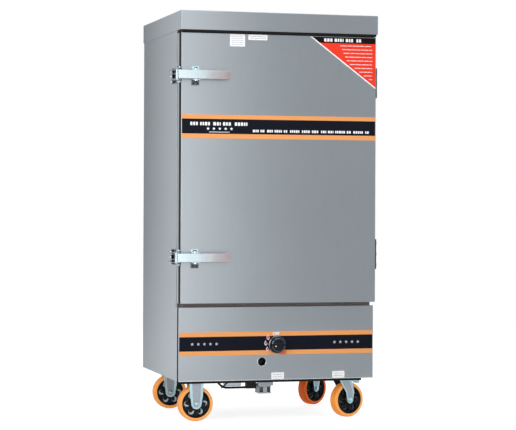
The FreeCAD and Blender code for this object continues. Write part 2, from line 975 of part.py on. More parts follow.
def gas_feed_pipe():
    end = mixer_offset - mixer_width / 2 - fitting_length
    start = end - injector_length
    corner = feed_left + feed_bend
    height = feed_low + feed_bend
    injector = box(
        start, end, outlet_line - injector_side / 2, outlet_line + injector_side / 2,
        feed_low - injector_drop, feed_low - injector_drop + injector_side,
    )
    turn = doc.addObject("Part::Torus", "turn")
    bind(turn, "Radius1", feed_bend)
    bind(turn, "Radius2", feed_radius)
    turn.Angle3 = 90
    turn.Placement = FreeCAD.Placement(
        VECTOR(), FreeCAD.Rotation(VECTOR(-1, 0, 0), VECTOR(0, 0, -1), VECTOR(0, -1, 0), "XYZ")
    )
    return fused(
        rod("z", feed_left, outlet_line, height, feed_radius, feed_top - height),
        place(turn, corner, outlet_line, height),
        rod("x", corner, outlet_line, feed_low, feed_radius, start - corner),
        injector,
    )


def burner():
    side = burner_bar / 2
    top = burner_floor + burner_height
    pieces = [box(
        -burner_pitch - side, burner_pitch + side, burner_front,
        burner_front + burner_bar + ledge, burner_floor, top,
    )]
    ways = []
    step = (burner_back - burner_front) / (PORT_COUNT + 1)
    for column in (-1, 0, 1):
        x = column * burner_pitch
        pieces.append(box(x - side, x + side, burner_front, burner_back, burner_floor, top))
        pieces.append(box(
            x - port_strip / 2, x + port_strip / 2, burner_front + ledge, burner_back - ledge,
            top, top + port_height,
        ))
        for row in range(1, PORT_COUNT + 1):
            y = burner_front + row * step
            ways.append(box(
                x - port_strip, x + port_strip, y, y + port_gap,
                top + port_height / 2, top + 2 * port_height,
            ))
    return cut(fused(*pieces), *ways)


def burner_mixer():
    left = mixer_offset - mixer_width / 2
    right = mixer_offset + mixer_width / 2
    front = mixer_line - mixer_depth / 2
    back = mixer_line + mixer_depth / 2
    top = mixer_bottom + mixer_height
    chest = box(left, right, front, back, mixer_bottom, top)
    neck = rod("z", mixer_offset, neck_line, top, neck_radius, burner_floor - top)
    fitting = rod(
        "x", left - fitting_length, outlet_line, feed_low, fitting_radius, fitting_length
    )
    room = box(
        left + pipe_wall, right - pipe_wall, front + pipe_wall, back - pipe_wall,
        mixer_bottom + pipe_wall, top - pipe_wall,
    )
    slot_base = mixer_bottom + (mixer_height - air_slot_height) / 2
    ways = [room]
    for x in (mixer_offset - air_slot_width * 3 / 2, mixer_offset + air_slot_width / 2):
        ways.append(box(
            x, x + air_slot_width, front - gauge, front + 2 * pipe_wall,
            slot_base, slot_base + air_slot_height,
        ))
    return cut(fused(chest, neck, fitting), *ways)


def mixer_bracket():
    left = mixer_offset - mixer_width / 2 - bracket_lip
    right = mixer_offset + mixer_width / 2 + bracket_lip / 2
    front = front_plane + bracket_setback
    top = caster_height
    low = mixer_bottom + mixer_height
    hanger = box(left, right, front, front + frame_gauge, low, top)
    shelf = box(left, right, front, mixer_line + mixer_depth / 2, low, low + frame_gauge)
    foot = box(left, right, front, front + bracket_side, top - frame_gauge, top)
    hole = rod("z", mixer_offset, neck_line, low - gauge, neck_radius + pipe_play, 3 * frame_gauge)
    return cut(fused(hanger, shelf, foot), hole)


def fire_box():
    side = burner_pitch * 2
    front = burner_front - fire_gap
    back = chamber_back - tank_gap
    box_walls = shell(-side, side, front, back, burner_floor, tank_bottom, gauge, "top bottom")
    peep = rod("y", lighting_offset, front - gauge, lighting_height, lighting_hole, 3 * gauge)
    throat = box(
        gauge - flue_width / 2, flue_width / 2 - gauge, back - 2 * gauge, back + gauge,
        throat_base + gauge, throat_top - gauge,
    )
    return cut(box_walls, peep, throat)


def flue_duct():
    side = flue_width / 2
    front = chamber_back + 2 * gauge
    back = front + flue_depth
    start = chamber_back - tank_gap
    spout = flue_top - spout_height
    outer = fused(
        box(-side, side, front, back, throat_base, flue_top),
        box(-side, side, start, back, throat_base, throat_top),
        box(-side, side, front, rear_end, spout, flue_top),
    )
    inner = fused(
        box(gauge - side, side - gauge, front + gauge, back - gauge,
            throat_base + gauge, flue_top - gauge),
        box(gauge - side, side - gauge, start - gauge, back - gauge,
            throat_base + gauge, throat_top - gauge),
        box(gauge - side, side - gauge, front + gauge, rear_end + gauge,
            spout + gauge, flue_top - gauge),
    )
    return cut(outer, inner)


def steam_vent():
    start = chamber_back + gauge
    length = rear_end - start
    outer = rod("y", vent_offset, start, vent_height, vent_radius, length)
    inner = rod("y", vent_offset, start - gauge, vent_height, vent_radius - pipe_wall,
                length + 2 * gauge)
    return cut(outer, inner)


# Water supply and drain

def float_box():
    left = float_offset - float_width / 2
    right = float_offset + float_width / 2
    front = back_plane - gauge
    top = float_base + float_height
    tub = shell(left, right, front, front + float_depth, float_base, top, tank_gauge, "top")
    start = chamber_back - tank_gap - tank_gauge
    length = front + tank_gauge - start
    pipe = rod("y", float_offset, start, level_height, level_radius, length)
    bore = rod("y", float_offset, start - gauge, level_height, level_radius - pipe_wall / 2,
               length + 2 * gauge)
    valve_hole = rod("x", right - 2 * tank_gauge, valve_line, valve_height, valve_radius,
                     4 * tank_gauge)
    return cut(fused(tub, pipe), bore, valve_hole)


def float_box_cover():
    left = float_offset - float_width / 2 - tank_gauge
    right = float_offset + float_width / 2 + tank_gauge
    front = back_plane - gauge
    top = float_base + float_height
    return shell(
        left, right, front, front + float_depth + tank_gauge, top - cover_drop,
        top + gauge, gauge, "bottom front",
    )


def float_valve():
    right = float_offset + float_width / 2
    inner = right - valve_inside
    stem = rod("x", inner, valve_line, valve_height, valve_radius, valve_inside + valve_outside)
    collar = rod("x", right, valve_line, valve_height, valve_radius + pipe_wall, 2 * pipe_wall)
    ears = box(
        inner - valve_ear, inner + gauge, valve_line - valve_radius, valve_line + valve_radius,
        valve_height - valve_ear / 2, valve_height + valve_ear / 2,
    )
    gap = box(
        inner - 2 * valve_ear, inner, valve_line - arm_half - pin_play * 4,
        valve_line + arm_half + pin_play * 4, valve_height - valve_ear, valve_height + valve_ear,
    )
    pin_hole = rod("y", inner - valve_ear / 2, valve_line - 2 * valve_radius, valve_height,
                   pedal_pin_radius, 4 * valve_radius)
    pin = rod("y", inner - valve_ear / 2, valve_line - valve_radius, valve_height,
              pedal_pin_radius, 2 * valve_radius)
    return fused(cut(fused(stem, collar, ears), gap, pin_hole), pin)


def float_arm():
    pivot = float_offset + float_width / 2 - valve_inside - valve_ear / 2
    bar = box(
        pivot - arm_length, pivot, valve_line - arm_half, valve_line + arm_half,
        valve_height - arm_half, valve_height + arm_half,
    )
    eye = rod("y", pivot, valve_line - arm_half, valve_height, valve_ear / 2 - gauge, 2 * arm_half)
    block = box(
        pivot - arm_length - float_block, pivot - arm_length, valve_line - float_block / 2,
        valve_line + float_block / 2, valve_height - float_block / 2,
        valve_height + float_block / 4,
    )
    bore = rod("y", pivot, valve_line - valve_radius, valve_height,
               pedal_pin_radius + pin_play, 2 * valve_radius)
    return cut(fused(bar, eye, block), bore)


def drain_pipe():
    start = back_plane + valve_gap
    pieces = [
        rod("z", drain_offset, drain_back, drain_height, drain_radius, tank_bottom - drain_height),
        elbow(drain_offset, drain_back, drain_height, drain_radius + pipe_wall),
        rod("y", drain_offset, drain_back, drain_height, drain_radius, rear_end - drain_back),
        box(
            drain_offset - drain_chest, drain_offset + drain_chest, start,
            start + 2 * drain_chest, drain_height - drain_chest, drain_height + drain_chest,
        ),
        rod("z", drain_offset, start + drain_chest, drain_height, spindle_radius,
            drain_chest + stem_height),
    ]
    out = rod("y", drain_offset, rear_end - rear_reach / 3, drain_height, drain_bore, rear_reach)
    return cut(fused(*pieces), out)


def drain_lever():
    line = back_plane + valve_gap + drain_chest
    base = drain_height + drain_chest + pin_play * 8
    disc = rod("z", drain_offset, line, base, 2 * spindle_radius, seat_gauge)
    bar = box(
        drain_offset - drain_handle, drain_offset, line - spindle_radius,
        line + spindle_radius, base, base + seat_gauge,
    )
    bore = rod("z", drain_offset, line, base - gauge, spindle_radius + pin_play, 4 * seat_gauge)
    return cut(fused(disc, bar), bore)


# Door

def door_liner():
    side = door_half - gauge
    bottom = door_bottom + gauge
    top = door_top - gauge
    plate = box(-side, side, door_back - gauge, door_back, bottom, top)
    inset = field_gap
    field = chamber_half - inset
    low = chamber_floor + inset + gauge
    high = chamber_top - inset
    raised = box(-field, field, door_back - gauge, door_back + field_height, low, high)
    hollow = box(
        gauge - field, field - gauge, door_back - 2 * gauge, door_back + field_height - gauge,
        low + gauge, high - gauge,
    )
    return cut(fused(plate, raised), hollow)


def door_foam():
    side = door_half - gauge - foam_play
    return box(
        -side, side, door_front + gauge + foam_play, door_back - gauge - foam_play,
        door_bottom + gauge + foam_play, door_top - gauge - foam_play,
    )


def door_gasket():
    inner = chamber_half + gasket_inset
    outer = door_half - gasket_margin
    low = chamber_floor - gasket_inset
    high = chamber_top + gasket_inset
    back = front_plane - gasket_play
    ring = box(
        -outer, outer, door_back, back, door_bottom + gasket_margin, door_top - gasket_margin
    )
    room = box(-inner, inner, door_back - gauge, back + gauge, low, high)
    return cut(ring, room)


def hinge_knuckles(z, spans, radius, bore):
    pieces = []
    for start, end in spans:
        pieces.append(rod("z", hinge_x, hinge_y, z + start, radius, end - start))
    hole = rod("z", hinge_x, hinge_y, z - hinge_length, bore, 2 * hinge_length)
    return pieces, hole


def hinge_frame_leaf(z):
    reach = hinge_length / 2
    third = hinge_length / 6 + knuckle_gap / 2
    spans = [(-reach, -third), (third, reach)]
    knuckles, hole = hinge_knuckles(z, spans, knuckle_radius, pin_radius)
    pieces = [box(
        half, half + leaf_gauge, front_plane + knuckle_gap, front_plane + leaf_width,
        z - reach, z + reach,
    )]
    for start, end in spans:
        pieces.append(box(
            half, half + leaf_gauge, hinge_y + leaf_tongue, front_plane + 2 * knuckle_gap,
            z + start, z + end,
        ))
    return cut(fused(*pieces, *knuckles), hole)


def hinge_door_leaf(z):
    reach = hinge_length / 2
    third = hinge_length / 6 - knuckle_gap / 2
    spans = [(-third, third)]
    knuckles, hole = hinge_knuckles(z, spans, knuckle_radius, pin_radius + pin_play)
    edge = hinge_y - knuckle_radius - knuckle_gap
    plate = box(
        door_half, door_half + leaf_gauge, edge - leaf_width, edge, z - reach, z + reach
    )
    tongue = box(
        door_half, door_half + leaf_gauge, edge - knuckle_gap, hinge_y - knuckle_radius / 3,
        z - third, z + third,
    )
    return cut(fused(plate, tongue, *knuckles), hole)


def hinge_pin(z):
    reach = hinge_length / 2
    pin = rod("z", hinge_x, hinge_y, z - reach, pin_radius, hinge_length)
    cap = rod("z", hinge_x, hinge_y, z + reach, knuckle_radius - knuckle_gap, 3 * gauge)
    return fused(pin, cap)


# Latches

def latch_lever(z):
    body = new_body("lever")
    tail = leg_outer - lever_tail
    front = pivot_y - lever_front
    back = front + lever_gauge
    outline = [
        (tail, front), (tail + lever_length, front), (tail + lever_length, back),
        (leg_inner, back), (leg_inner, pivot_y + leg_reach), (leg_outer, pivot_y + leg_reach),
        (leg_outer, front + lever_lip), (tail, front + lever_lip),
    ]
    base = z - lever_height / 2
    pad(body, sketch_on(body, "XY_Plane", base, [outline]), lever_height)
    boss = [(pivot_x, pivot_y, lever_boss)]
    pad(body, sketch_on(body, "XY_Plane", base, [], boss), lever_height)
    hole = [(pivot_x, pivot_y, latch_pin_radius + pin_play)]
    drilled = pocket(
        body, sketch_on(body, "XY_Plane", base + lever_height, [], hole), lever_height
    )
    rounded(
        body, drilled, lever_round,
        lambda edge, middle: near(middle.y, front) or (
            near(middle.x, tail + lever_length) and runs_along(edge, DEPTHWISE)
        ),
    )
    return body


def latch_bracket(z):
    left = pivot_x - bracket_width / 2
    right = pivot_x + bracket_width / 2
    inner = lever_height / 2 + lever_play
    outer = inner + bracket_gauge
    front = pivot_y - latch_head_radius
    block = box(left, right, front, door_front, z - outer, z + outer)
    gap = box(left - gauge, right + gauge, front - gauge, door_front - bracket_gauge,
              z - inner, z + inner)
    hole = rod("z", pivot_x, pivot_y, z - 2 * outer, latch_pin_radius, 4 * outer)
    return cut(block, gap, hole)


def latch_pin(z):
    outer = lever_height / 2 + lever_play + bracket_gauge
    shaft = rod("z", pivot_x, pivot_y, z - outer, latch_pin_radius, 2 * outer)
    head = rod("z", pivot_x, pivot_y, z + outer, latch_head_radius, latch_head)
    nut = rod("z", pivot_x, pivot_y, z - outer - latch_head, latch_head_radius, latch_head)
    return fused(shaft, head, nut)


def latch_keeper(z):
    inner = lever_height / 2 + lever_play
    outer = inner + keeper_gauge
    wall = -half - keeper_gauge
    edge = roller_x - roller_radius - keeper_edge
    plate = box(
        wall, -half, front_plane + bend + gauge, front_plane + keeper_depth,
        z - keeper_height / 2, z + keeper_height / 2,
    )
    pieces = [plate]
    for start in (z - outer, z + inner):
        pieces.append(box(
            edge, wall + gauge, roller_y - roller_radius - keeper_edge,
            front_plane + keeper_depth / 2, start, start + keeper_gauge,
        ))
    clearance = box(
        wall, -half + gauge, roller_y - 2 * roller_radius, front_plane + bend + gauge,
        z - 2 * outer, z + 2 * outer,
    )
    hole = rod("z", roller_x, roller_y, z - 2 * outer, roller_pin_radius, 4 * outer)
    return cut(fused(*pieces), clearance, hole)


def keeper_roller(z):
    inner = lever_height / 2 + lever_play
    reach = inner + keeper_gauge + latch_head / 2
    sleeve = rod("z", roller_x, roller_y, z - inner, roller_radius, 2 * inner)
    pin = rod("z", roller_x, roller_y, z - reach, roller_pin_radius, 2 * reach)
    return fused(sleeve, pin)


# Casters, each built at its own swivel axis and then placed

def placed(piece, x, y, turn=None):
    group = grouped(piece)
    group.Placement = FreeCAD.Placement(VECTOR(), FreeCAD.Rotation(UP, 1))
    bind(group, "Placement.Rotation.Angle", 0 if turn is None else turn)
    return place(group, x, y, 0)


def wheel_hub(offset):
    body = new_body("hub")
    bore = axle_radius + axle_play
    outer_side = [
        (bore, hub_width / 2), (hub_boss, hub_width / 2),
        (hub_boss, hub_edge / 2), (hub_radius, hub_edge / 2),
    ]
    profile = [(u, -v) for u, v in outer_side] + outer_side[::-1]
    revolved(body, sketch_on(body, "XY_Plane", 0, [profile]), "Y_Axis")
    window = [
        (window_root, window_lead), (window_root * 2, -window_sweep),
        (window_rim, window_lead),
    ]
    opened = pocket(body, sketch_on(body, "XZ_Plane", 0, [window]), hub_width)
    opened.Midplane = True
    ring = body.newObject("PartDesign::PolarPattern", "windows")
    ring.Originals = [opened]
    ring.Axis = (origin_part(body, "Y_Axis"), [""])
    ring.Angle = 360
    ring.Occurrences = SPOKE_COUNT
    body.Tip = ring
    return place(body, offset, 0, wheel_radius)


def tyre(offset):
    body = new_body("tread")
    profile = rectangle(hub_radius, wheel_radius, -tread_width / 2, tread_width / 2)
    revolved(body, sketch_on(body, "XY_Plane", 0, [profile]), "Y_Axis")
    return place(body, offset, 0, wheel_radius)


def fork_leg(offset, top, inner_y, side, foot):
    body = new_body("leg")
    shoulder = wheel_radius + fork_shoulder
    outline = [
        (-fork_top / 2, top), (fork_top / 2, top), (offset + side, shoulder),
        (offset + foot, wheel_radius), (offset + foot / 2, wheel_radius - foot),
        (offset - foot / 2, wheel_radius - foot), (offset - foot, wheel_radius),
        (offset - side, shoulder),
    ]
    hole = [(offset, wheel_radius, axle_radius)]
    sketch = sketch_on(body, "XZ_Plane", inner_y, [outline], hole)
    pad(body, sketch, fork_gauge)
    return body


def wheel_axle(offset):
    reach = fork_gap + fork_gauge
    shaft = rod("y", offset, -reach, wheel_radius, axle_radius, 2 * reach)
    head = rod("y", offset, -reach - axle_head / 2, wheel_radius, axle_head, axle_head / 2)
    nut = rod("y", offset, reach, wheel_radius, axle_head, axle_head / 2)
    return fused(shaft, head, nut)


def caster_plate():
    return box(
        -plate_length / 2, plate_length / 2, -plate_width / 2, plate_width / 2,
        caster_height - plate_gauge, caster_height,
    )


def rigid_fork():
    low = caster_height - plate_gauge
    return fused(
        caster_plate(),
        fork_leg(0, low, fork_gap, rigid_side, rigid_foot),
        fork_leg(0, low, -fork_gap - fork_gauge, rigid_side, rigid_foot),
    )


def swivel_plate():
    race = rod("z", 0, 0, race_base, race_radius, caster_height - plate_gauge - race_base)
    bore = rod("z", 0, 0, race_base - gauge, kingpin_radius + axle_play, race_height)
    return cut(fused(caster_plate(), race), bore)


def swivel_fork():
    top = race_base - race_gap
    crown = top - race_height
    disc = rod("z", 0, 0, crown, race_radius, race_height)
    kingpin = rod("z", 0, 0, top, kingpin_radius, race_height - fork_gauge)
    plate = box(
        -fork_top / 2, trail + pedal_line, -fork_gap - fork_gauge, fork_gap + fork_gauge,
        crown - fork_gauge, crown,
    )
    pieces = [disc, kingpin, plate]
    for inner in (fork_gap, -fork_gap - fork_gauge):
        pieces.append(fork_leg(trail, crown, inner, swivel_side, swivel_foot))
    x = trail + pedal_line - pedal_ear / 2
    inner = pedal_width / 2 + pedal_play
    for start in (inner, -inner - fork_gauge):
        pieces.append(box(
            x - pedal_ear / 2, x + pedal_ear / 2, start, start + fork_gauge,
            crown - pedal_ear, crown - fork_gauge,
        ))
    hole = rod("y", x, -2 * inner, pedal_height, pedal_pin_radius, 4 * inner)
    return cut(fused(*pieces), hole)


def brake_pedal():
    x = trail + pedal_line - pedal_ear / 2
    reach = pedal_width / 2
    pin = rod("y", x, -reach - fork_gauge, pedal_height, pedal_pin_radius - pin_play,
              2 * (reach + fork_gauge))
    sleeve = rod("y", x, -reach, pedal_height, pedal_sleeve, 2 * reach)
    tab = box(x, x + pedal_length, -reach, reach, pedal_height - pedal_gauge / 2,
              pedal_height + pedal_gauge / 2)
    lip = box(
        x + pedal_length - pedal_gauge, x + pedal_length, -reach, reach,
        pedal_height - 3 * pedal_gauge, pedal_height,
    )
    return fused(pin, sleeve, tab, lip)


def build_casing():
    left = keep(side_panel(), "left_side_panel")
    keep(mirrored(left), "right_side_panel")
    keep(back_panel(), "back_panel")
    keep(top_cover(), "top_cover")
    keep(base_frame(), "base_frame")


def build_chamber():
    keep(chamber_liner(), "chamber_liner")
    keep(insulation(), "insulation")
    keep(water_tank(), "water_tank")
    keep(steam_deck(), "steam_deck")
    left = keep(tray_rack(), "left_tray_rack")
    keep(mirrored(left), "right_tray_rack")
    keep(rice_trays(), "rice_trays")
    keep(steam_vent(), "steam_vent")


def build_front_and_gas():
    keep(control_panel(), "control_panel")
    keep(place(control_knob(), knob_offset, panel_front, knob_height), "control_knob")
    keep(knob_spindle(), "knob_spindle")
    keep(knob_spring_seat(), "knob_spring_seat")
    keep(gas_cock(), "gas_cock")
    keep(gas_inlet_pipe(), "gas_inlet_pipe")
    keep(gas_outlet_pipe(), "gas_outlet_pipe")
    keep(gas_feed_pipe(), "gas_feed_pipe")
    keep(burner(), "burner")
    keep(burner_mixer(), "burner_mixer")
    keep(mixer_bracket(), "mixer_bracket")
    keep(fire_box(), "fire_box")
    keep(flue_duct(), "flue_duct")


def build_water_and_drain():
    keep(float_box(), "float_box")
    keep(float_box_cover(), "float_box_cover")
    keep(float_valve(), "float_valve")
    keep(float_arm(), "float_arm")
    keep(drain_pipe(), "drain_pipe")
    keep(drain_lever(), "drain_lever")


def build_door():
    skin = front_pan(
        "door_sheet", door_half, door_bottom, door_top, door_back, door_depth
    )
    keep(skin, "door_skin")
    keep(door_liner(), "door_liner")
    keep(door_foam(), "door_foam")
    keep(door_gasket(), "door_gasket")
    hinges = (hinge_low, hinge_high)
    keep(grouped(*(hinge_frame_leaf(z) for z in hinges)), "hinge_frame_leaves")
    keep(grouped(*(hinge_door_leaf(z) for z in hinges)), "hinge_door_leaves")
    keep(grouped(*(hinge_pin(z) for z in hinges)), "hinge_pins")


def build_latches():
    latches = (latch_low, latch_high)
    keep(latch_lever(latch_high), "upper_latch_lever")
    keep(latch_lever(latch_low), "lower_latch_lever")
    keep(grouped(*(latch_bracket(z) for z in latches)), "latch_brackets")
    keep(grouped(*(latch_pin(z) for z in latches)), "latch_pins")
    keep(grouped(*(latch_keeper(z) for z in latches)), "latch_keepers")
    keep(grouped(*(keeper_roller(z) for z in latches)), "keeper_rollers")


def build_casters():
    rigid_x = rigid_inset - half
    swivel_x = half - swivel_inset
    rows = (
        ("front", front_plane + front_caster, front_swivel_turn),
        ("rear", back_plane - rear_caster, rear_swivel_turn),
    )
    forks = []
    axles = []
    plates = []
    for row, y, turn in rows:
        forks.append(placed(rigid_fork(), rigid_x, y))
        axles.append(placed(wheel_axle(0), rigid_x, y))
        plates.append(placed(swivel_plate(), swivel_x, y))
        keep(placed(wheel_hub(0), rigid_x, y), "left_" + row + "_wheel_hub")
        keep(placed(tyre(0), rigid_x, y), "left_" + row + "_tyre")
        fork = grouped(swivel_fork(), wheel_axle(trail))
        keep(placed(fork, swivel_x, y, turn), "right_" + row + "_swivel_fork")
        keep(placed(wheel_hub(trail), swivel_x, y, turn), "right_" + row + "_wheel_hub")
        keep(placed(tyre(trail), swivel_x, y, turn), "right_" + row + "_tyre")
        keep(placed(brake_pedal(), swivel_x, y, turn), "right_" + row + "_brake_pedal")
    keep(grouped(*forks), "rigid_caster_forks")
    keep(grouped(*axles), "rigid_caster_axles")
    keep(grouped(*plates), "swivel_caster_plates")


def check_document():
    for thing in doc.Objects:
        if "Invalid" in thing.State or "Error" in thing.State:
            raise ValueError(thing.Label + " failed: " + str(thing.State))
    for piece in kept:
        if piece.Shape.isNull() or not piece.Shape.isValid():
            raise ValueError(piece.Label + " has no valid shape")
        if not piece.Shape.Solids:
            raise ValueError(piece.Label + " has no solid")


def write_parts():
    os.makedirs(PARTS_FOLDER, exist_ok=True)
    for piece in kept:
        piece.Shape.exportStep(os.path.join(PARTS_FOLDER, piece.Label + ".step"))
        print(piece.Label, len(piece.Shape.Solids), round(piece.Shape.Volume))


build_casing()
build_chamber()
build_front_and_gas()
build_water_and_drain()
build_door()
build_latches()
build_casters()
doc.recompute()
check_document()
write_parts()
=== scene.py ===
import json
import math
import random

import bmesh
import bpy
from mathutils import Matrix, Vector


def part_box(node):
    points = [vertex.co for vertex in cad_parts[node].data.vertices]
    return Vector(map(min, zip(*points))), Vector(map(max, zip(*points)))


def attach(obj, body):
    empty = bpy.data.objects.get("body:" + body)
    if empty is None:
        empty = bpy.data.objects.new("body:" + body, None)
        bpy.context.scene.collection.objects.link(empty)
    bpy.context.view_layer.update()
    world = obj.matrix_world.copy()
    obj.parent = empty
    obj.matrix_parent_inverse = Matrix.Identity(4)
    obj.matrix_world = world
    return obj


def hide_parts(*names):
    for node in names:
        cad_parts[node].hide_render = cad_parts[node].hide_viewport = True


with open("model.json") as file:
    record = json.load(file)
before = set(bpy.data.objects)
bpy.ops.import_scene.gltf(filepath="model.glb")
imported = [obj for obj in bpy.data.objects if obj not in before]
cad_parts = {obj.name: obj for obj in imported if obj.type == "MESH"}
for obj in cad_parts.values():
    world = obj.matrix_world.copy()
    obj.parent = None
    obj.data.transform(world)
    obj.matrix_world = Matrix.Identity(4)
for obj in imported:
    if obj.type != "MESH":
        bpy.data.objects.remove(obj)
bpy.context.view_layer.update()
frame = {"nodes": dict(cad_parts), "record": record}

# Looks of the rice steamer cabinet, in metres, in the CAD's own frame:
# X to the right, Y to the back, Z up, the origin on the floor under the middle.

MM = 0.001
JOINTS = {joint["name"]: joint for joint in frame["record"]["behaviour"]["joints"]}


def low(node):
    return Vector(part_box(node)[0])


def high(node):
    return Vector(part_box(node)[1])


def pivot(joint):
    return Vector(JOINTS[joint]["pos_m"])


def axis_of(joint):
    return Vector(JOINTS[joint]["axis"])


DOOR_FACE = low("door_skin").y
PANEL_FACE = low("control_panel").y
DOOR_TOP = high("door_skin").z
DOOR_EDGE = high("door_skin").x - 3 * MM
PANEL_EDGE = high("control_panel").x - 3 * MM
WALL = high("right_side_panel").x


# Camera and light

CAMERA_PLACE = (-1.827, -6.6885, 0.792)
CAMERA_TURN = math.radians(15.37)
CAMERA_ROLL = 0.0043
CAMERA_LENS = 130.25
HORIZON_SHIFT = -0.0315
FILM_WIDTH = 36
VIEW_END = 60


def set_camera():
    data = bpy.data.cameras.new("view")
    data.lens = CAMERA_LENS
    data.sensor_width = FILM_WIDTH
    data.sensor_fit = "HORIZONTAL"
    data.shift_y = HORIZON_SHIFT
    data.clip_end = VIEW_END
    camera = bpy.data.objects.new("view", data)
    camera.location = CAMERA_PLACE
    camera.rotation_euler = (math.radians(90), -CAMERA_ROLL, -CAMERA_TURN)
    bpy.context.collection.objects.link(camera)
    bpy.context.scene.camera = camera


def add_lamp(name, place, target, width, height, power):
    data = bpy.data.lights.new(name, "AREA")
    data.shape = "RECTANGLE"
    data.size = width
    data.size_y = height
    data.energy = power
    lamp = bpy.data.objects.new(name, data)
    lamp.location = place
    aim = Vector(target) - Vector(place)
    lamp.rotation_euler = aim.to_track_quat("-Z", "Y").to_euler()
    lamp.visible_camera = False
    bpy.context.collection.objects.link(lamp)


# Each lamp's place, the point it faces, its width, its height and its power
def set_lamps():
    add_lamp("near_softbox", (-0.28, -1.9, 0.95), (-0.28, 0, 0.95), 0.7, 4.2, 13)
    add_lamp("side_card", (-1.06, 0.8, 0.75), (-1.06, -2, 0.75), 0.8, 2.9, 6.6)
    add_lamp("left_softbox", (-2.6, -2.3, 1.2), (-0.3, 0, 0.7), 1.6, 2.4, 44)
    add_lamp("right_softbox", (2.8, -2.6, 1.6), (0.1, 0, 0.7), 1.8, 2.4, 16)
    add_lamp("top_softbox", (0.2, -1.2, 3.4), (0, 0, 0.6), 2.4, 1.8, 22)
    add_lamp("back_softbox", (1.6, 3.2, 1.8), (0.1, 0, 0.7), 2.2, 2.0, 34)


def fill(node, values):
    for name, value in values.items():
        node.inputs[name].default_value = value


# One for the named kinds of ray, and zero for the rest
def rays(nodes, links, names):
    path = nodes.new("ShaderNodeLightPath")
    total = path.outputs[names[0]]
    for name in names[1:]:
        both = nodes.new("ShaderNodeMath")
        both.operation = "MAXIMUM"
        links.new(total, both.inputs[0])
        links.new(path.outputs[name], both.inputs[1])
        total = both.outputs[0]
    return total


ROOM_REACH = 0.9
ROOM_LEFT = 0.16
ROOM_RIGHT = 0.52
ROOM_TINT = (0.93, 0.96, 1.0, 1)
WHITE = (1, 1, 1, 1)


# A pale room for the light, brighter to the right, seen as white by the camera
def set_world():
    world = bpy.data.worlds.new("room")
    world.use_nodes = True
    bpy.context.scene.world = world
    nodes = world.node_tree.nodes
    links = world.node_tree.links
    nodes.clear()
    place = nodes.new("ShaderNodeTexCoord")
    split = nodes.new("ShaderNodeSeparateXYZ")
    ramp = nodes.new("ShaderNodeMapRange")
    fill(ramp, {"From Min": -ROOM_REACH, "From Max": ROOM_REACH, "To Min": ROOM_LEFT,
                "To Max": ROOM_RIGHT})
    white = nodes.new("ShaderNodeBackground")
    room = nodes.new("ShaderNodeBackground")
    fill(room, {"Color": ROOM_TINT})
    mix = nodes.new("ShaderNodeMixShader")
    output = nodes.new("ShaderNodeOutputWorld")
    fill(white, {"Color": WHITE})
    links.new(place.outputs["Generated"], split.inputs[0])
    links.new(split.outputs["X"], ramp.inputs["Value"])
    links.new(ramp.outputs["Result"], room.inputs["Strength"])
    links.new(rays(nodes, links, ["Is Camera Ray", "Is Transmission Ray"]), mix.inputs[0])
    links.new(room.outputs[0], mix.inputs[1])
    links.new(white.outputs[0], mix.inputs[2])
    links.new(mix.outputs[0], output.inputs["Surface"])


FLOOR_GREY = 0.6
FLOOR_GLOW = 0.8
FLOOR_MIRRORED = 0.2


# The floor glows to the camera and, weakly, in reflections
def add_floor():
    data = bpy.data.meshes.new("floor")
    reach = 14
    data.from_pydata(
        [(-reach, -reach, 0), (reach, -reach, 0), (reach, reach, 0), (-reach, reach, 0)],
        [], [(0, 1, 2, 3)],
    )
    floor = bpy.data.objects.new("floor", data)
    bpy.context.collection.objects.link(floor)
    material = bpy.data.materials.new("floor")
    material.use_nodes = True
    nodes = material.node_tree.nodes
    links = material.node_tree.links
    shader = nodes["Principled BSDF"]
    fill(shader, {"Base Color": (FLOOR_GREY, FLOOR_GREY, FLOOR_GREY, 1), "Roughness": 0.9})
    glow = nodes.new("ShaderNodeEmission")
    fill(glow, {"Color": WHITE})
    lift = nodes.new("ShaderNodeMath")
    lift.operation = "MULTIPLY"
    lift.inputs[1].default_value = FLOOR_GLOW
    mirror = nodes.new("ShaderNodeMath")
    mirror.operation = "MULTIPLY_ADD"
    mirror.inputs[1].default_value = FLOOR_MIRRORED
    total = nodes.new("ShaderNodeAddShader")
    links.new(rays(nodes, links, ["Is Camera Ray", "Is Transmission Ray"]), lift.inputs[0])
    links.new(rays(nodes, links, ["Is Glossy Ray"]), mirror.inputs[0])
    links.new(lift.outputs[0], mirror.inputs[2])
    links.new(mirror.outputs[0], glow.inputs["Strength"])
    links.new(shader.outputs[0], total.inputs[0])
    links.new(glow.outputs[0], total.inputs[1])
    links.new(total.outputs[0], nodes["Material Output"].inputs["Surface"])
    data.materials.append(material)


# Materials

EVEN = (1, 1, 1)


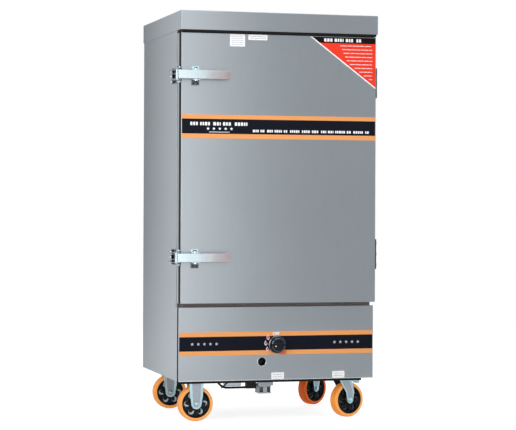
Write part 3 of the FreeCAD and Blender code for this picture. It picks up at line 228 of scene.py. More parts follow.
# Stretched noise varies the colour, the roughness and the height of a surface.
# height is in millimetres, and glow is the strength of its own colour as light, which is painted
# glow.
def surface(name, colour, rough, metal, stretch, scale, tint, rough_spread, bump=0.1,
            height=0.2, coat=0.0, shine=0.5, glow=0.0):
    material = bpy.data.materials.new(name)
    material.use_nodes = True
    nodes = material.node_tree.nodes
    links = material.node_tree.links
    shader = nodes["Principled BSDF"]
    fill(shader, {
        "Metallic": metal, "Specular IOR Level": shine, "Coat Weight": coat,
        "Coat Roughness": 0.12, "Emission Color": (*colour, 1), "Emission Strength": glow,
    })
    place = nodes.new("ShaderNodeTexCoord")
    mapping = nodes.new("ShaderNodeMapping")
    fill(mapping, {"Scale": stretch})
    fine = nodes.new("ShaderNodeTexNoise")
    fill(fine, {"Scale": scale, "Detail": 5})
    broad = nodes.new("ShaderNodeTexNoise")
    fill(broad, {"Scale": 3.5, "Detail": 2})
    links.new(place.outputs["Object"], mapping.inputs["Vector"])
    links.new(mapping.outputs["Vector"], fine.inputs["Vector"])
    links.new(place.outputs["Object"], broad.inputs["Vector"])
    blend = nodes.new("ShaderNodeMix")
    fill(blend, {"Factor": 0.35})
    links.new(fine.outputs["Fac"], blend.inputs["A"])
    links.new(broad.outputs["Fac"], blend.inputs["B"])
    ramp = nodes.new("ShaderNodeValToRGB")
    ramp.color_ramp.elements[0].position = 0.3
    ramp.color_ramp.elements[1].position = 0.7
    ramp.color_ramp.elements[0].color = (*(c * (1 - tint) for c in colour), 1)
    ramp.color_ramp.elements[1].color = (*(min(1, c * (1 + tint)) for c in colour), 1)
    links.new(blend.outputs["Result"], ramp.inputs["Fac"])
    links.new(ramp.outputs["Color"], shader.inputs["Base Color"])
    spread = nodes.new("ShaderNodeMapRange")
    fill(spread, {"To Min": rough - rough_spread, "To Max": rough + rough_spread})
    links.new(fine.outputs["Fac"], spread.inputs["Value"])
    links.new(spread.outputs["Result"], shader.inputs["Roughness"])
    relief = nodes.new("ShaderNodeBump")
    fill(relief, {"Strength": bump, "Distance": height * MM})
    links.new(fine.outputs["Fac"], relief.inputs["Height"])
    links.new(relief.outputs["Normal"], shader.inputs["Normal"])
    return material


# Painted shade: the base colour runs to another one between two places along X
def painted_shade_along_x(material, colour, start, end):
    nodes = material.node_tree.nodes
    links = material.node_tree.links
    base = nodes["Principled BSDF"].inputs["Base Color"]
    place = nodes.new("ShaderNodeTexCoord")
    split = nodes.new("ShaderNodeSeparateXYZ")
    share = nodes.new("ShaderNodeMapRange")
    fill(share, {"From Min": start, "From Max": end})
    mix = nodes.new("ShaderNodeMix")
    mix.data_type = "RGBA"
    links.new(place.outputs["Object"], split.inputs[0])
    links.new(split.outputs["X"], share.inputs["Value"])
    links.new(share.outputs["Result"], mix.inputs["Factor"])
    links.new(base.links[0].from_socket, mix.inputs["A"])
    mix.inputs["B"].default_value = (*colour, 1)
    links.new(mix.outputs["Result"], base)


UPRIGHT_GRAIN = (22, 22, 0.35)
LEVEL_GRAIN = (0.35, 22, 22)
FINE = 45


def brushed(name, colour, grain):
    return surface(name, colour, 0.36, 1.0, grain, FINE, 0.04, 0.05, 0.05, 0.1)


brushed_steel = brushed("brushed_steel", (0.45, 0.49, 0.52), UPRIGHT_GRAIN)
lid_steel = brushed("lid_steel", (0.45, 0.49, 0.52), LEVEL_GRAIN)
# A light copy of the steel for the panel's lower edge, as painted highlight
hem_painted_highlight = brushed("hem_painted_highlight", (0.80, 0.84, 0.87), LEVEL_GRAIN)
satin_steel = surface("satin_steel", (0.52, 0.55, 0.58), 0.4, 1.0, LEVEL_GRAIN, FINE,
                      0.06, 0.06, 0.06, 0.1)
zinc = surface("zinc", (0.47, 0.51, 0.57), 0.3, 1.0, EVEN, 24, 0.05, 0.04, 0.02, 0.05)
# A darker copy of the latches' chrome for the keepers on the side wall, as painted shade
keeper_shade_chrome = surface("keeper_shade_chrome", (0.34, 0.39, 0.44), 0.2, 1.0, EVEN, 60, 0.1, 0.06,
                       0.05, 0.1)
# A brighter, bluer copy of the zinc, as painted highlight on the forks' legs, the pedals, the
# bracket ears and the swivel plates' bolts
zinc_painted_highlight = surface("zinc_painted_highlight", (0.58, 0.84, 0.90), 0.24, 1.0, EVEN, 24, 0.05, 0.04, 0.02,
                    0.05)
# A dark copy of the steel, as painted shade on the hinges' flaps and the brackets' feet
painted_shade_steel = surface("painted_shade_steel", (0.13, 0.14, 0.15), 0.4, 1.0, EVEN, 60, 0.2, 0.06, 0.1, 0.1)
# A near-black chrome, as painted shade round the keepers' domes
painted_shade_chrome = surface("painted_shade_chrome", (0.06, 0.09, 0.13), 0.2, 1.0, EVEN, 90, 0.25, 0.06, 0.05,
                      0.1)
bright_plate = surface("bright_plate", (0.66, 0.77, 0.81), 0.24, 1.0, EVEN, 90, 0.06, 0.05,
                       0.05, 0.1)
lever_plate = surface("lever_plate", (0.64, 0.75, 0.78), 0.26, 1.0, EVEN, 30, 0.08, 0.06, 0.04,
                      0.1)
# The levers run to a dull pinkish grey towards their right ends, as painted shade
painted_shade_along_x(lever_plate, (0.62, 0.50, 0.50), -0.30, -0.19)
galvanised = surface("galvanised", (0.52, 0.55, 0.57), 0.42, 0.9, EVEN, 120, 0.2, 0.1,
                     0.2, 0.2)
heat_sheet = surface("heat_sheet", (0.34, 0.34, 0.35), 0.5, 0.9, EVEN, 30, 0.2, 0.1, 0.1, 0.2)
tray_metal = surface("tray_metal", (0.74, 0.75, 0.77), 0.35, 1.0, LEVEL_GRAIN, FINE,
                     0.05, 0.08, 0.08, 0.1)
wool = surface("wool", (0.62, 0.55, 0.38), 0.95, 0.0, EVEN, 220, 0.2, 0.04, 0.8, 2.0)
# Black rubber for the seals, also used for strips and a collar that stand for shade
seal_and_shade_black = surface("seal_and_shade_black", (0.010, 0.009, 0.009), 0.7, 0.0, EVEN, 90, 0.2, 0.1, 0.3, 0.3, shine=0.2)
lip_brown = surface("lip_brown", (0.24, 0.195, 0.175), 0.6, 0.0, EVEN, 90, 0.25, 0.1, 0.2, 0.2,
                    shine=0.3)
# Black for the pipes, also used for sheets that stand for shade inside the forks
pipe_and_shade_black = surface("pipe_and_shade_black", (0.012, 0.012, 0.014), 0.4, 0.0, EVEN, 140, 0.2, 0.1, 0.2,
                     0.2, shine=0.3)
cast = surface("cast", (0.07, 0.07, 0.075), 0.75, 0.4, EVEN, 260, 0.3, 0.1, 0.6, 0.6)
brass = surface("brass", (0.72, 0.52, 0.22), 0.3, 1.0, EVEN, 120, 0.1, 0.08, 0.1, 0.1)
knob_black = surface("knob_black", (0.004, 0.006, 0.013), 0.34, 0.0, EVEN, 260, 0.2, 0.06,
                     0.05, 0.1, 0.1, shine=0.25)
# A light metal for lines on the black knob's rims, as painted highlight
knob_rim_highlight = surface("knob_rim_highlight", (0.22, 0.32, 0.38), 0.25, 1.0, EVEN, 260, 0.2, 0.06, 0.05, 0.1)


def hub_plastic(name, colour, shine):
    return surface(name, colour, 0.34, 0.0, EVEN, 180, 0.25, 0.08, 0.15, 0.15, 0.1, shine=shine)


def tyre_rubber(name, colour, glow):
    return surface(name, colour, 0.36, 0.0, EVEN, 70, 0.07, 0.06, 0.08, 0.2, 0.15, shine=0.3,
                   glow=glow)


def printed(name, colour, rough, tint, spread, shine, glow=0.0):
    return surface(name, colour, rough, 0.0, EVEN, 300, tint, spread, 0.03, 0.05, shine=shine,
                   glow=glow)


hub_black = hub_plastic("hub_black", (0.008, 0.010, 0.014), 0.3)
# Light and dark copies of the hub's black plastic, as painted highlight and painted shade on its
# faces
hub_painted_highlight = hub_plastic("hub_painted_highlight", (0.56, 0.64, 0.67), 0.4)
hub_painted_shade = hub_plastic("hub_painted_shade", (0.03, 0.037, 0.048), 0.4)
# The tyres glow weakly in their own colour, a painted glow; the tread's copy of the orange is
# redder and the right rear tyre's deeper, as painted shade
tyre_orange = tyre_rubber("tyre_orange", (1.0, 0.40, 0.09), 0.3)
tread_painted_shade = tyre_rubber("tread_painted_shade", (1.0, 0.33, 0.055), 0.28)
tyre_painted_shade = tyre_rubber("tyre_painted_shade", (0.95, 0.15, 0.008), 0.2)
float_ivory = surface("float_ivory", (0.74, 0.70, 0.58), 0.35, 0.0, EVEN, 80, 0.06, 0.06)
lever_red = surface("lever_red", (0.50, 0.03, 0.025), 0.35, 0.0, EVEN, 120, 0.1, 0.08, 0.2,
                    0.2, 0.3)
film_orange = printed("film_orange", (0.98, 0.41, 0.14), 0.45, 0.03, 0.04, 0.12)
# Deeper and redder oranges for the knob's painted shadow on the band
film_shadow_orange = printed("film_shadow_orange", (0.96, 0.29, 0.09), 0.45, 0.03, 0.04, 0.12)
film_shadow_red = printed("film_shadow_red", (0.95, 0.18, 0.06), 0.45, 0.03, 0.04, 0.12)
film_navy = printed("film_navy", (0.0085, 0.010, 0.018), 0.5, 0.1, 0.05, 0.06)
# The white print glows weakly in its own colour, a painted glow
film_white = printed("film_white", (0.93, 0.93, 0.94), 0.5, 0.02, 0.05, 0.2, 0.1)
film_red = printed("film_red", (1.0, 0.055, 0.025), 0.45, 0.03, 0.05, 0.12)
film_black = printed("film_black", (0.012, 0.008, 0.008), 0.5, 0.1, 0.05, 0.06)
print_grey = surface("print_grey", (0.30, 0.32, 0.36), 0.5, 0.0, EVEN, 300, 0.05, 0.05)
star_grey = surface("star_grey", (0.52, 0.55, 0.60), 0.5, 0.0, EVEN, 300, 0.05, 0.05)

SLOT_LOOKS = {
    "brushed_stainless": brushed_steel, "satin_stainless": satin_steel, "zinc_steel": zinc,
    "bright_plate": bright_plate, "galvanised_pipe": galvanised, "heat_sheet": heat_sheet,
    "tray_aluminium": tray_metal, "insulation_wool": wool, "seal_rubber": seal_and_shade_black,
    "pipe_black": pipe_and_shade_black, "cast_burner": cast,
    "valve_brass": brass, "knob_black": knob_black, "hub_black": hub_black,
    "tyre_orange": tyre_orange, "float_plastic": float_ivory, "lever_red": lever_red,
}


def dress_nodes():
    for row in frame["record"]["subparts"]:
        for socket in frame["nodes"][row["node"]].material_slots:
            socket.material = SLOT_LOOKS[row["material_slot"]]
    for node, look in (
        ("top_cover", lid_steel), ("latch_keepers", keeper_shade_chrome),
        ("upper_latch_lever", lever_plate), ("lower_latch_lever", lever_plate),
    ):
        for socket in frame["nodes"][node].material_slots:
            socket.material = look


# Mesh helpers

FRONT = (0, -1, 0)


# Turns points given in millimetres into metres
def in_mm(*points):
    return [(u * MM, v * MM) for u, v in points]


# The point at a distance from another, in the direction of a turn in degrees
def around(u, v, radius, turn):
    angle = math.radians(turn)
    return u + radius * math.cos(angle), v + radius * math.sin(angle)


def placed(point, direction):
    turn = Vector(direction).to_track_quat("Z", "Y").to_matrix().to_4x4()
    return Matrix.Translation(Vector(point)) @ turn


def lifted(height):
    return Matrix.Translation((0, 0, height))


# An outline drawn in X and Z is built at the given Y and grows to the front
def facing(y):
    return Matrix(((1, 0, 0, 0), (0, 0, -1, y), (0, 1, 0, 0), (0, 0, 0, 1)))


# Turns radius and height pairs round the local Z axis
def lathe(mesh, profile, place, steps, closed=False):
    rings = []
    for radius, height in profile:
        count = steps if radius > 1e-7 else 1
        rings.append([
            mesh.verts.new(place @ Vector((*around(0, 0, radius, 360 * step / count), height)))
            for step in range(count)
        ])
    pairs = list(zip(rings, rings[1:]))
    if closed:
        pairs.append((rings[-1], rings[0]))
    for first, second in pairs:
        for step in range(steps):
            following = (step + 1) % steps
            corners = [
                first[step % len(first)], first[following % len(first)],
                second[following % len(second)], second[step % len(second)],
            ]
            mesh.faces.new(list(dict.fromkeys(corners)))
    if not closed:
        for ring in (rings[0], rings[-1]):
            if len(ring) > 1:
                mesh.faces.new(ring)


# Grows a flat outline along the local Z axis
def prism(mesh, outline, place, depth):
    near = [mesh.verts.new(place @ Vector((u, v, 0))) for u, v in outline]
    far = [mesh.verts.new(place @ Vector((u, v, depth))) for u, v in outline]
    mesh.faces.new(near)
    mesh.faces.new(far)
    count = len(outline)
    for number in range(count):
        following = (number + 1) % count
        mesh.faces.new([near[number], near[following], far[following], far[number]])


def arc(u, v, radius, start, end, steps=6):
    turns = [start + (end - start) * step / steps for step in range(steps + 1)]
    return [around(u, v, radius, turn) for turn in turns]


def rectangle(u0, u1, v0, v1):
    return [(u0, v0), (u1, v0), (u1, v1), (u0, v1)]


def rounded(u0, u1, v0, v1, radius):
    return (
        arc(u1 - radius, v0 + radius, radius, -90, 0)
        + arc(u1 - radius, v1 - radius, radius, 0, 90)
        + arc(u0 + radius, v1 - radius, radius, 90, 180)
        + arc(u0 + radius, v0 + radius, radius, 180, 270)
    )


def make(name, mesh, material, body, bevel=0.0, angle=35, nodes=()):
    bmesh.ops.recalc_face_normals(mesh, faces=mesh.faces)
    data = bpy.data.meshes.new(name)
    mesh.to_mesh(data)
    mesh.free()
    data.shade_smooth()
    data.set_sharp_from_angle(angle=math.radians(angle))
    data.materials.append(material)
    thing = bpy.data.objects.new(name, data)
    bpy.context.collection.objects.link(thing)
    if bevel:
        edge = thing.modifiers.new("edge", "BEVEL")
        edge.width = bevel
        edge.segments = 2
        edge.limit_method = "ANGLE"
        edge.angle_limit = math.radians(40)
    if nodes:
        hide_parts(*nodes)
    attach(thing, body)


# Fasteners

def hex_bolt(mesh, point, direction, radius, height):
    place = placed(point, direction)
    lathe(mesh, [(0, 0), (radius * 1.35, 0), (radius * 1.35, height * 0.18),
                 (0, height * 0.18)], place, 28)
    lathe(mesh, [(0, height * 0.18), (radius, height * 0.18), (radius, height * 0.85),
                 (radius * 0.84, height), (0, height)], place, 6)


def acorn_nut(base, cap, point, direction, radius):
    place = placed(point, direction)
    lathe(base, [(0, 0), (radius * 1.25, 0), (radius * 1.25, 1.4 * MM), (0, 1.4 * MM)], place, 28)
    lathe(base, [(0, 1.4 * MM), (radius, 1.4 * MM), (radius, radius * 0.75),
                 (radius * 0.85, radius * 0.9), (0, radius * 0.9)], place, 6)
    lathe(cap, [(0, radius * 0.88), (radius * 0.8, radius * 0.88), (radius * 0.72, radius * 1.3),
                (radius * 0.45, radius * 1.6), (0, radius * 1.72)], place, 24)


def dome_screw(mesh, point, direction, radius, height):
    place = placed(point, direction)
    lathe(mesh, [(0, 0), (radius, 0), (radius, height * 0.25), (radius * 0.85, height * 0.7),
                 (radius * 0.5, height), (radius * 0.3, height), (radius * 0.26, height * 0.45),
                 (0, height * 0.4)], place, 24)


# Bands, stickers and marks

FILM = 0.2 * MM


# Films lie on each other in layers in front of a face
def film(name, outlines, face, layer, material, body):
    mesh = bmesh.new()
    for outline in outlines:
        prism(mesh, outline, facing(face - layer * FILM), FILM)
    make(name, mesh, material, body)


def box_outline(u0, u1, v0, v1):
    return rounded(u0, u1, v0, v1, min(u1 - u0, v1 - v0) * 0.12)


# Plain dashes stand where the printed words are
def dashes(u0, u1, v, height, seed, longest):
    draw = random.Random(seed)
    marks = []
    start = u0
    while start < u1 - height:
        end = min(start + draw.uniform(0.4, 1.0) * longest, u1)
        while start < end - height * 0.3:
            width = min(draw.uniform(0.45, 0.85) * height, end - start)
            marks.append(rounded(start, start + width, v - height / 2, v + height / 2,
                                 height * 0.15))
            start += width + height * 0.22
        start = end + height * 0.7
    return marks


STAR_DENT = 0.55


# Clockwise from the top point, each point followed by a dent
def star(u, v, radius):
    reaches = (radius, radius * STAR_DENT) * 5
    return [around(u, v, reach, 90 - 36 * step) for step, reach in enumerate(reaches)]


def star_row(u0, u1, v, radius, count=5):
    return [star(u0 + (u1 - u0) * number / (count - 1), v, radius) for number in range(count)]


def add_band(name, face, edge, top, navy_top, navy_bottom, bottom, body):
    film(name + "_orange", [
        rectangle(-edge, edge, navy_top, top), rectangle(-edge, edge, bottom, navy_bottom),
    ], face, 1, film_orange, body)
    film(name + "_navy", [rectangle(-edge, edge, navy_bottom, navy_top)],
         face, 1, film_navy, body)


# From the top down: the orange edge, the navy field, the orange edge
DOOR_BAND = (1.0865, 1.0715, 1.0195, 1.0030)
TITLE_ENDS = (-0.326, -0.113)
TITLE_ROW = 1.0545
DOOR_STARS = (-0.262, -0.177)
DOOR_STAR_ROW = 1.0375
UNDERLINE = (-0.258, -0.184, 1.0247, 1.0265)
MOTTO_ENDS = (-0.099, 0.332)
MOTTO_ROW = 1.0312


def add_door_marks():
    add_band("door_band", DOOR_FACE, DOOR_EDGE, *DOOR_BAND, "door")
    marks = dashes(*TITLE_ENDS, TITLE_ROW, 12 * MM, 3, 50 * MM)
    marks += star_row(*DOOR_STARS, DOOR_STAR_ROW, 5.5 * MM)
    marks += [box_outline(*UNDERLINE)]
    marks += dashes(*MOTTO_ENDS, MOTTO_ROW, 9 * MM, 8, 40 * MM)
    film("door_band_marks", marks, DOOR_FACE, 2, film_white, "door")


CORNER_LEFT = 0.111
CORNER_TIP = 1.188
HEADER = 21 * MM
BORDER = 4.5 * MM
CORNER_ROWS = 10
CORNER_ROW_STEP = 13.2


# A triangle in the door's upper right corner, with a dark head and rows of dashes
def add_corner_sticker():
    top = DOOR_TOP - 4 * MM
    right = DOOR_EDGE
    slope = (right - CORNER_LEFT) / (top - CORNER_TIP)

    def left_at(v):
        return CORNER_LEFT + (top - v) * slope

    film("corner_border", [[(CORNER_LEFT, top), (right, CORNER_TIP), (right, top)]],
         DOOR_FACE, 1, film_white, "door")
    inset = BORDER * math.hypot(1, slope)
    head = top - HEADER
    film("corner_field", [[
        (left_at(head) + inset, head), (right, CORNER_TIP + inset / slope), (right, head),
    ]], DOOR_FACE, 2, film_red, "door")
    film("corner_head", [[
        (CORNER_LEFT + inset, top), (left_at(head) + inset, head), (right, head), (right, top),
    ]], DOOR_FACE, 2, film_black, "door")
    marks = dashes(CORNER_LEFT + 52 * MM, right - 42 * MM, top - HEADER / 2, 11.5 * MM, 5,
                   40 * MM)
    for row in range(CORNER_ROWS):
        v = head - (9 + row * CORNER_ROW_STEP) * MM
        start = max(left_at(v) + inset + 12 * MM, right - (132 - row * 6) * MM)
        marks += dashes(start, right - 12 * MM, v, 2.8 * MM, row, 26 * MM)
    film("corner_marks", marks, DOOR_FACE, 3, film_white, "door")


# A blank white sticker with plain lines
def add_label(name, u0, u1, v0, v1, face, body, lines):
    film(name, [rounded(u0, u1, v0, v1, 2 * MM)], face, 1, film_white, body)
    step = (v1 - v0) / (lines + 1)
    marks = []
    for line in range(1, lines + 1):
        marks += dashes(u0 + 7 * MM, u1 - 7 * MM, v1 - line * step, 1.6 * MM, line, 16 * MM)
    film(name + "_lines", marks, face, 2, print_grey, body)


# Each label's left, right, bottom and top, its face and body, and its lines
def add_labels():
    top = DOOR_TOP - 3 * MM
    add_label("door_label_large", -0.184, -0.129, 1.328, top, DOOR_FACE, "door", 5)
    add_label("door_label_small", -0.117, -0.047, 1.352, top, DOOR_FACE, "door", 2)
    add_label("panel_label_left", -0.021, 0.026, 0.1515, 0.1750, PANEL_FACE, "cabinet", 2)
    add_label("panel_label_right", 0.206, 0.252, 0.1515, 0.1755, PANEL_FACE, "cabinet", 2)


FLAME_TURNS = (140, 172, 204)
FLAME_SIZES = (7.4, 6.6, 5.8)
FLAME_REACHES = (1.02, 1.0, 0.93)
FLAME_RING = 40 * MM
FLAME_RIM = 2.8
PANEL_BAND = (0.3210, 0.3050, 0.2545, 0.2385)
LEFT_STARS = (-0.310, -0.222)
RIGHT_STARS = (0.214, 0.302)
PANEL_STAR_ROW = 0.2795
PANEL_STAR = 5.8 * MM
WORD_ROW = 0.3074
WORD_HEIGHT = 10.6 * MM


def flame(u, v, size):
    return [
        (u - 0.1 * size, v + size), (u - 0.55 * size, v + 0.1 * size),
        (u - 0.5 * size, v - 0.55 * size), (u, v - size), (u + 0.5 * size, v - 0.55 * size),
        (u + 0.55 * size, v + 0.1 * size), (u + 0.25 * size, v + 0.05 * size),
        (u + 0.15 * size, v + 0.6 * size),
    ]


def add_panel_marks():
    add_band("panel_band", PANEL_FACE, PANEL_EDGE, *PANEL_BAND, "cabinet")
    marks = star_row(*LEFT_STARS, PANEL_STAR_ROW, PANEL_STAR)
    marks += star_row(*RIGHT_STARS, PANEL_STAR_ROW, PANEL_STAR)
    film("panel_stars", marks, PANEL_FACE, 2, star_grey, "cabinet")
    centre = pivot("knob_turn")
    add_flames(centre)
    add_knob_shadow_mark()
    add_word("OFF", centre.x - 2 * MM, WORD_ROW, WORD_HEIGHT)


# Red flames with white rims, at the left of the knob
def add_flames(centre):
    flames = []
    rims = []
    for size, reach, turn in zip(FLAME_SIZES, FLAME_REACHES, FLAME_TURNS):
        u, v = around(centre.x, centre.z, FLAME_RING * reach, turn)
        flames.append(flame(u, v, size * MM))
        rims.append(flame(u, v, (size + FLAME_RIM) * MM))
    film("flame_rims", rims, PANEL_FACE, 2, film_white, "cabinet")
    film("flame_marks", flames, PANEL_FACE, 3, film_red, "cabinet")


# The knob's shadow on the band, painted as a deeper orange patch with a redder core on the band's
# lower edge
def add_knob_shadow_mark():
    bottom = PANEL_BAND[3] + 0.7 * MM
    top = PANEL_BAND[2] - 0.3 * MM
    outer = rounded(4 * MM, 37 * MM, bottom, top, 3 * MM)
    film("knob_shadow_mark", [outer], PANEL_FACE, 2, film_shadow_orange, "cabinet")
    inner = rounded(10 * MM, 31 * MM, bottom, top, 3 * MM)
    film("knob_shadow_core", [inner], PANEL_FACE, 3, film_shadow_red, "cabinet")


def add_word(word, u, v, size):
    data = bpy.data.curves.new("switch_word", "FONT")
    data.body = word
    data.size = size * 1.35
    data.align_x = "CENTER"
    data.extrude = FILM
    data.offset = 0.65 * MM
    curve = bpy.data.objects.new("switch_word_text", data)
    bpy.context.collection.objects.link(curve)
    curve.rotation_euler = (math.radians(90), 0, 0)
    curve.location = (u, PANEL_FACE - 3 * FILM, v)
    bpy.context.view_layer.update()
    mesh = bmesh.new()
    flat = bpy.data.meshes.new_from_object(curve)
    mesh.from_mesh(flat)
    mesh.transform(curve.matrix_world)
    bpy.data.objects.remove(curve)
    make("off_mark", mesh, film_white, "cabinet")


# Gas knob

# From the joint's place to the knob's back, along Y
KNOB_BACK = -4 * MM
KNOB_RADIUS = 31 * MM
KNOB_CORE = 24.5 * MM
KNOB_RIBS = 40
DOT_TURN = 200
DOT_RING = 12.5 * MM
BEZEL_BORE = 6 * MM
BEZEL_RADIUS = 11 * MM
BEZEL_HEIGHT = 0.8 * MM


def add_knob():
    centre = pivot("knob_turn")
    back = centre.y + KNOB_BACK
    start = placed((centre.x, back, centre.z), FRONT)
    add_knob_body(start)
    add_knob_rim_highlights(start)
    add_knob_grip(centre, back)
    add_knob_dot(centre, back)
    add_knob_bezel(centre)


# A wide foot with small ribs round it, and a core
def add_knob_body(start):
    mesh = bmesh.new()
    lathe(mesh, [
        (0, 0), (KNOB_RADIUS - 1 * MM, 0), (KNOB_RADIUS, 1 * MM), (KNOB_RADIUS, 5 * MM),
        (KNOB_RADIUS - 1.5 * MM, 6.6 * MM), (KNOB_CORE + 1.6 * MM, 8 * MM),
        (KNOB_CORE, 10 * MM), (KNOB_CORE - 1 * MM, 22 * MM), (KNOB_CORE - 3 * MM, 25 * MM),
        (KNOB_CORE * 0.5, 26 * MM), (0, 26 * MM),
    ], start, 72)
    for number in range(KNOB_RIBS):
        foot = around(0, 0, KNOB_RADIUS - 0.4 * MM, 360 * number / KNOB_RIBS)
        spot = start @ Vector((*foot, 1.2 * MM))
        lathe(mesh, in_mm((0, 0), (0.9, 0), (0.9, 3.6), (0, 4.2)), placed(spot, FRONT), 8)
    make("gas_knob", mesh, knob_black, "knob", 0, 30, ["control_knob"])


# Thin light metal lines round the core's top and the foot's, as painted highlight on the knob's
# edges
def add_knob_rim_highlights(start):
    mesh = bmesh.new()
    for radius, height in ((KNOB_CORE - 1.2 * MM, 22 * MM), (KNOB_RADIUS - 0.4 * MM, 5.4 * MM)):
        lathe(mesh, [
            (radius - 1.4 * MM, height), (radius + 0.3 * MM, height - 0.4 * MM),
            (radius, height + 1 * MM), (radius - 1.2 * MM, height + 1.8 * MM),
        ], start, 72, True)
    make("knob_rim_highlights", mesh, knob_rim_highlight, "knob")


def add_knob_grip(centre, back):
    mesh = bmesh.new()
    grip = (
        arc(KNOB_CORE - 6 * MM, 0, 6 * MM, -90, 90, 8)
        + arc(6 * MM - KNOB_CORE, 0, 6 * MM, 90, 270, 8)
    )
    outline = [(centre.x + u, centre.z + v) for u, v in grip]
    prism(mesh, outline, facing(back - 20 * MM), 11 * MM)
    make("gas_knob_grip", mesh, knob_black, "knob", 1.6 * MM)


def add_knob_dot(centre, back):
    mesh = bmesh.new()
    x, z = around(centre.x, centre.z, DOT_RING, DOT_TURN)
    lathe(mesh, in_mm((0, 0), (2.4, 0), (2.1, 0.9), (0, 1.1)),
          placed((x, back - 30.6 * MM, z), FRONT), 20)
    make("knob_dot", mesh, film_white, "knob")


# A ring on the panel, lower than the gap that the pressed knob leaves
def add_knob_bezel(centre):
    mesh = bmesh.new()
    lathe(mesh, [
        (BEZEL_BORE, 0), (BEZEL_RADIUS, 0), (BEZEL_RADIUS, 0.5 * MM),
        (BEZEL_RADIUS - 2 * MM, BEZEL_HEIGHT), (BEZEL_BORE, BEZEL_HEIGHT),
    ], placed((centre.x, PANEL_FACE, centre.z), FRONT), 32, True)
    make("knob_bezel", mesh, zinc, "cabinet")


# Wheels

TYRE_HALF = 18 * MM
HUB_RADIUS = 49 * MM
SPOKES = 6
SPOKE_END = 44.4 * MM
FACET_END = 42.6 * MM
FACET_DEPTH = 5.2 * MM
SKIN = 0.05 * MM


def add_wheel(row):
    joint = row + "_roll"
    body = row + "_wheel"
    place = placed(pivot(joint), axis_of(joint))
    add_tyre(row, body, place, pivot(joint).z - SKIN)
    add_hub(row, body, place)
    add_facets(row, body, place)


# The tread's skin stands out by its own thickness, so the tyre is that much smaller
def add_tyre(row, body, place, radius):
    mesh = bmesh.new()
    flank = [
        (HUB_RADIUS, TYRE_HALF * 0.94), (HUB_RADIUS + 2 * MM, TYRE_HALF),
        (radius - 4.5 * MM, TYRE_HALF), (radius - 2 * MM, TYRE_HALF * 0.94),
        (radius - 0.6 * MM, TYRE_HALF * 0.82), (radius, TYRE_HALF * 0.6), (radius, 0),
    ]
    lathe(mesh, flank + [(u, -v) for u, v in flank[-2::-1]], place, 96, True)
    # The right rear tyre and its tread take the deeper copy of the orange, as painted shade
    in_painted_shade = row == "right_rear"
    make(row + "_polyurethane_tyre", mesh, tyre_painted_shade if in_painted_shade else tyre_orange, body,
         0, 50, [row + "_tyre"])
    # The tread's skin is in a redder copy of the tyre's orange, as painted shade on the tread
    mesh = bmesh.new()
    skin = [(u + SKIN, v + SKIN) for u, v in flank[3:6]] + [(radius + SKIN, 0)]
    ring = skin + [(u, -v) for u, v in skin[-2::-1]]
    ring += [(radius - 3 * MM, 0.9 * -TYRE_HALF), (radius - 3 * MM, 0.9 * TYRE_HALF)]
    lathe(mesh, ring, place, 96, True)
    make(row + "_tread_skin", mesh, tyre_painted_shade if in_painted_shade else tread_painted_shade, body,
         0, 50)


# A rim with a flange on each side, a core, a web and two sets of curved spokes
def add_hub(row, body, place):
    mesh = bmesh.new()
    lathe(mesh, [
        (HUB_RADIUS, -12.6 * MM), (HUB_RADIUS, 12.6 * MM), (46.4 * MM, 13 * MM),
        (44.6 * MM, 11.6 * MM), (43.4 * MM, 3 * MM), (43.4 * MM, -3 * MM),
        (44.6 * MM, -11.6 * MM), (46.4 * MM, -13 * MM),
    ], place, 96, True)
    flange = in_mm((45.5, 12.6), (48.6, 12.6), (50.8, 17.9), (51, 18.4), (48.4, 18.4))
    for side in (-1, 1):
        lathe(mesh, [(u, v * side) for u, v in flange], place, 96, True)
    lathe(mesh, in_mm((6.3, -18.6), (11, -18.6), (13, -17), (16.5, -10), (16.5, 10), (13, 17),
                      (11, 18.6), (6.3, 18.6)), place, 40, True)
    lathe(mesh, in_mm((15, -3), (44, -3), (44, 3), (15, 3)), place, 72, True)
    for spoke in range(SPOKES):
        turn = 360 * spoke / SPOKES
        prism(mesh, swirl(turn, 34, 14 * MM, SPOKE_END, 2.4 * MM, 3.4 * MM),
              place @ lifted(-11.5 * MM), 23 * MM)
        prism(mesh, swirl(turn + 30, -26, 15 * MM, SPOKE_END, 1.6 * MM, 2.0 * MM),
              place @ lifted(-9.5 * MM), 19 * MM)
    make(row + "_spoked_centre", mesh, hub_black, body, 0.5 * MM, 40,
         [row + "_wheel_hub"])


# Faces of the hub between its spokes, in a light colour on the left wheels as painted highlight,
# and in a dark one on the right wheels as painted shade
def add_facets(row, body, place):
    mesh = bmesh.new()
    for spoke in range(SPOKES):
        turn = 360 * spoke / SPOKES
        for side in (-1, 1):
            lift = lifted(8.2 * MM * side - FACET_DEPTH / 2)
            prism(mesh, swirl(turn + 45, 16, 25 * MM, FACET_END, 1.2 * MM, 6.4 * MM),
                  place @ lift, FACET_DEPTH)
            prism(mesh, swirl(turn + 18, -22, 31 * MM, FACET_END, 0.9 * MM, 2.4 * MM),
                  place @ lift, FACET_DEPTH)
    look = hub_painted_highlight if row.startswith("left") else hub_painted_shade
    make(row + "_centre_facets", mesh, look, body, 0.8 * MM)


# A curved spoke that leans over as it runs out
def swirl(turn, lean, inner, outer, half_root, half_tip, steps=6):
    first = []
    second = []
    for step in range(steps + 1):
        share = step / steps
        radius = inner + (outer - inner) * share
        middle = turn + lean * share * share
        half = math.degrees((half_root + (half_tip - half_root) * share) / radius)
        first.append(around(0, 0, radius, middle - half))
        second.append(around(0, 0, radius, middle + half))
    return first + second[::-1]


# Forks

LEG_GAP = 21 * MM
LEG_HALF_TOP = 26.5 * MM
LEG_GAUGE = 3 * MM
SHOULDER = 28 * MM
RIB_SHARE = 0.6
RIB_DEPTH = 1.4 * MM


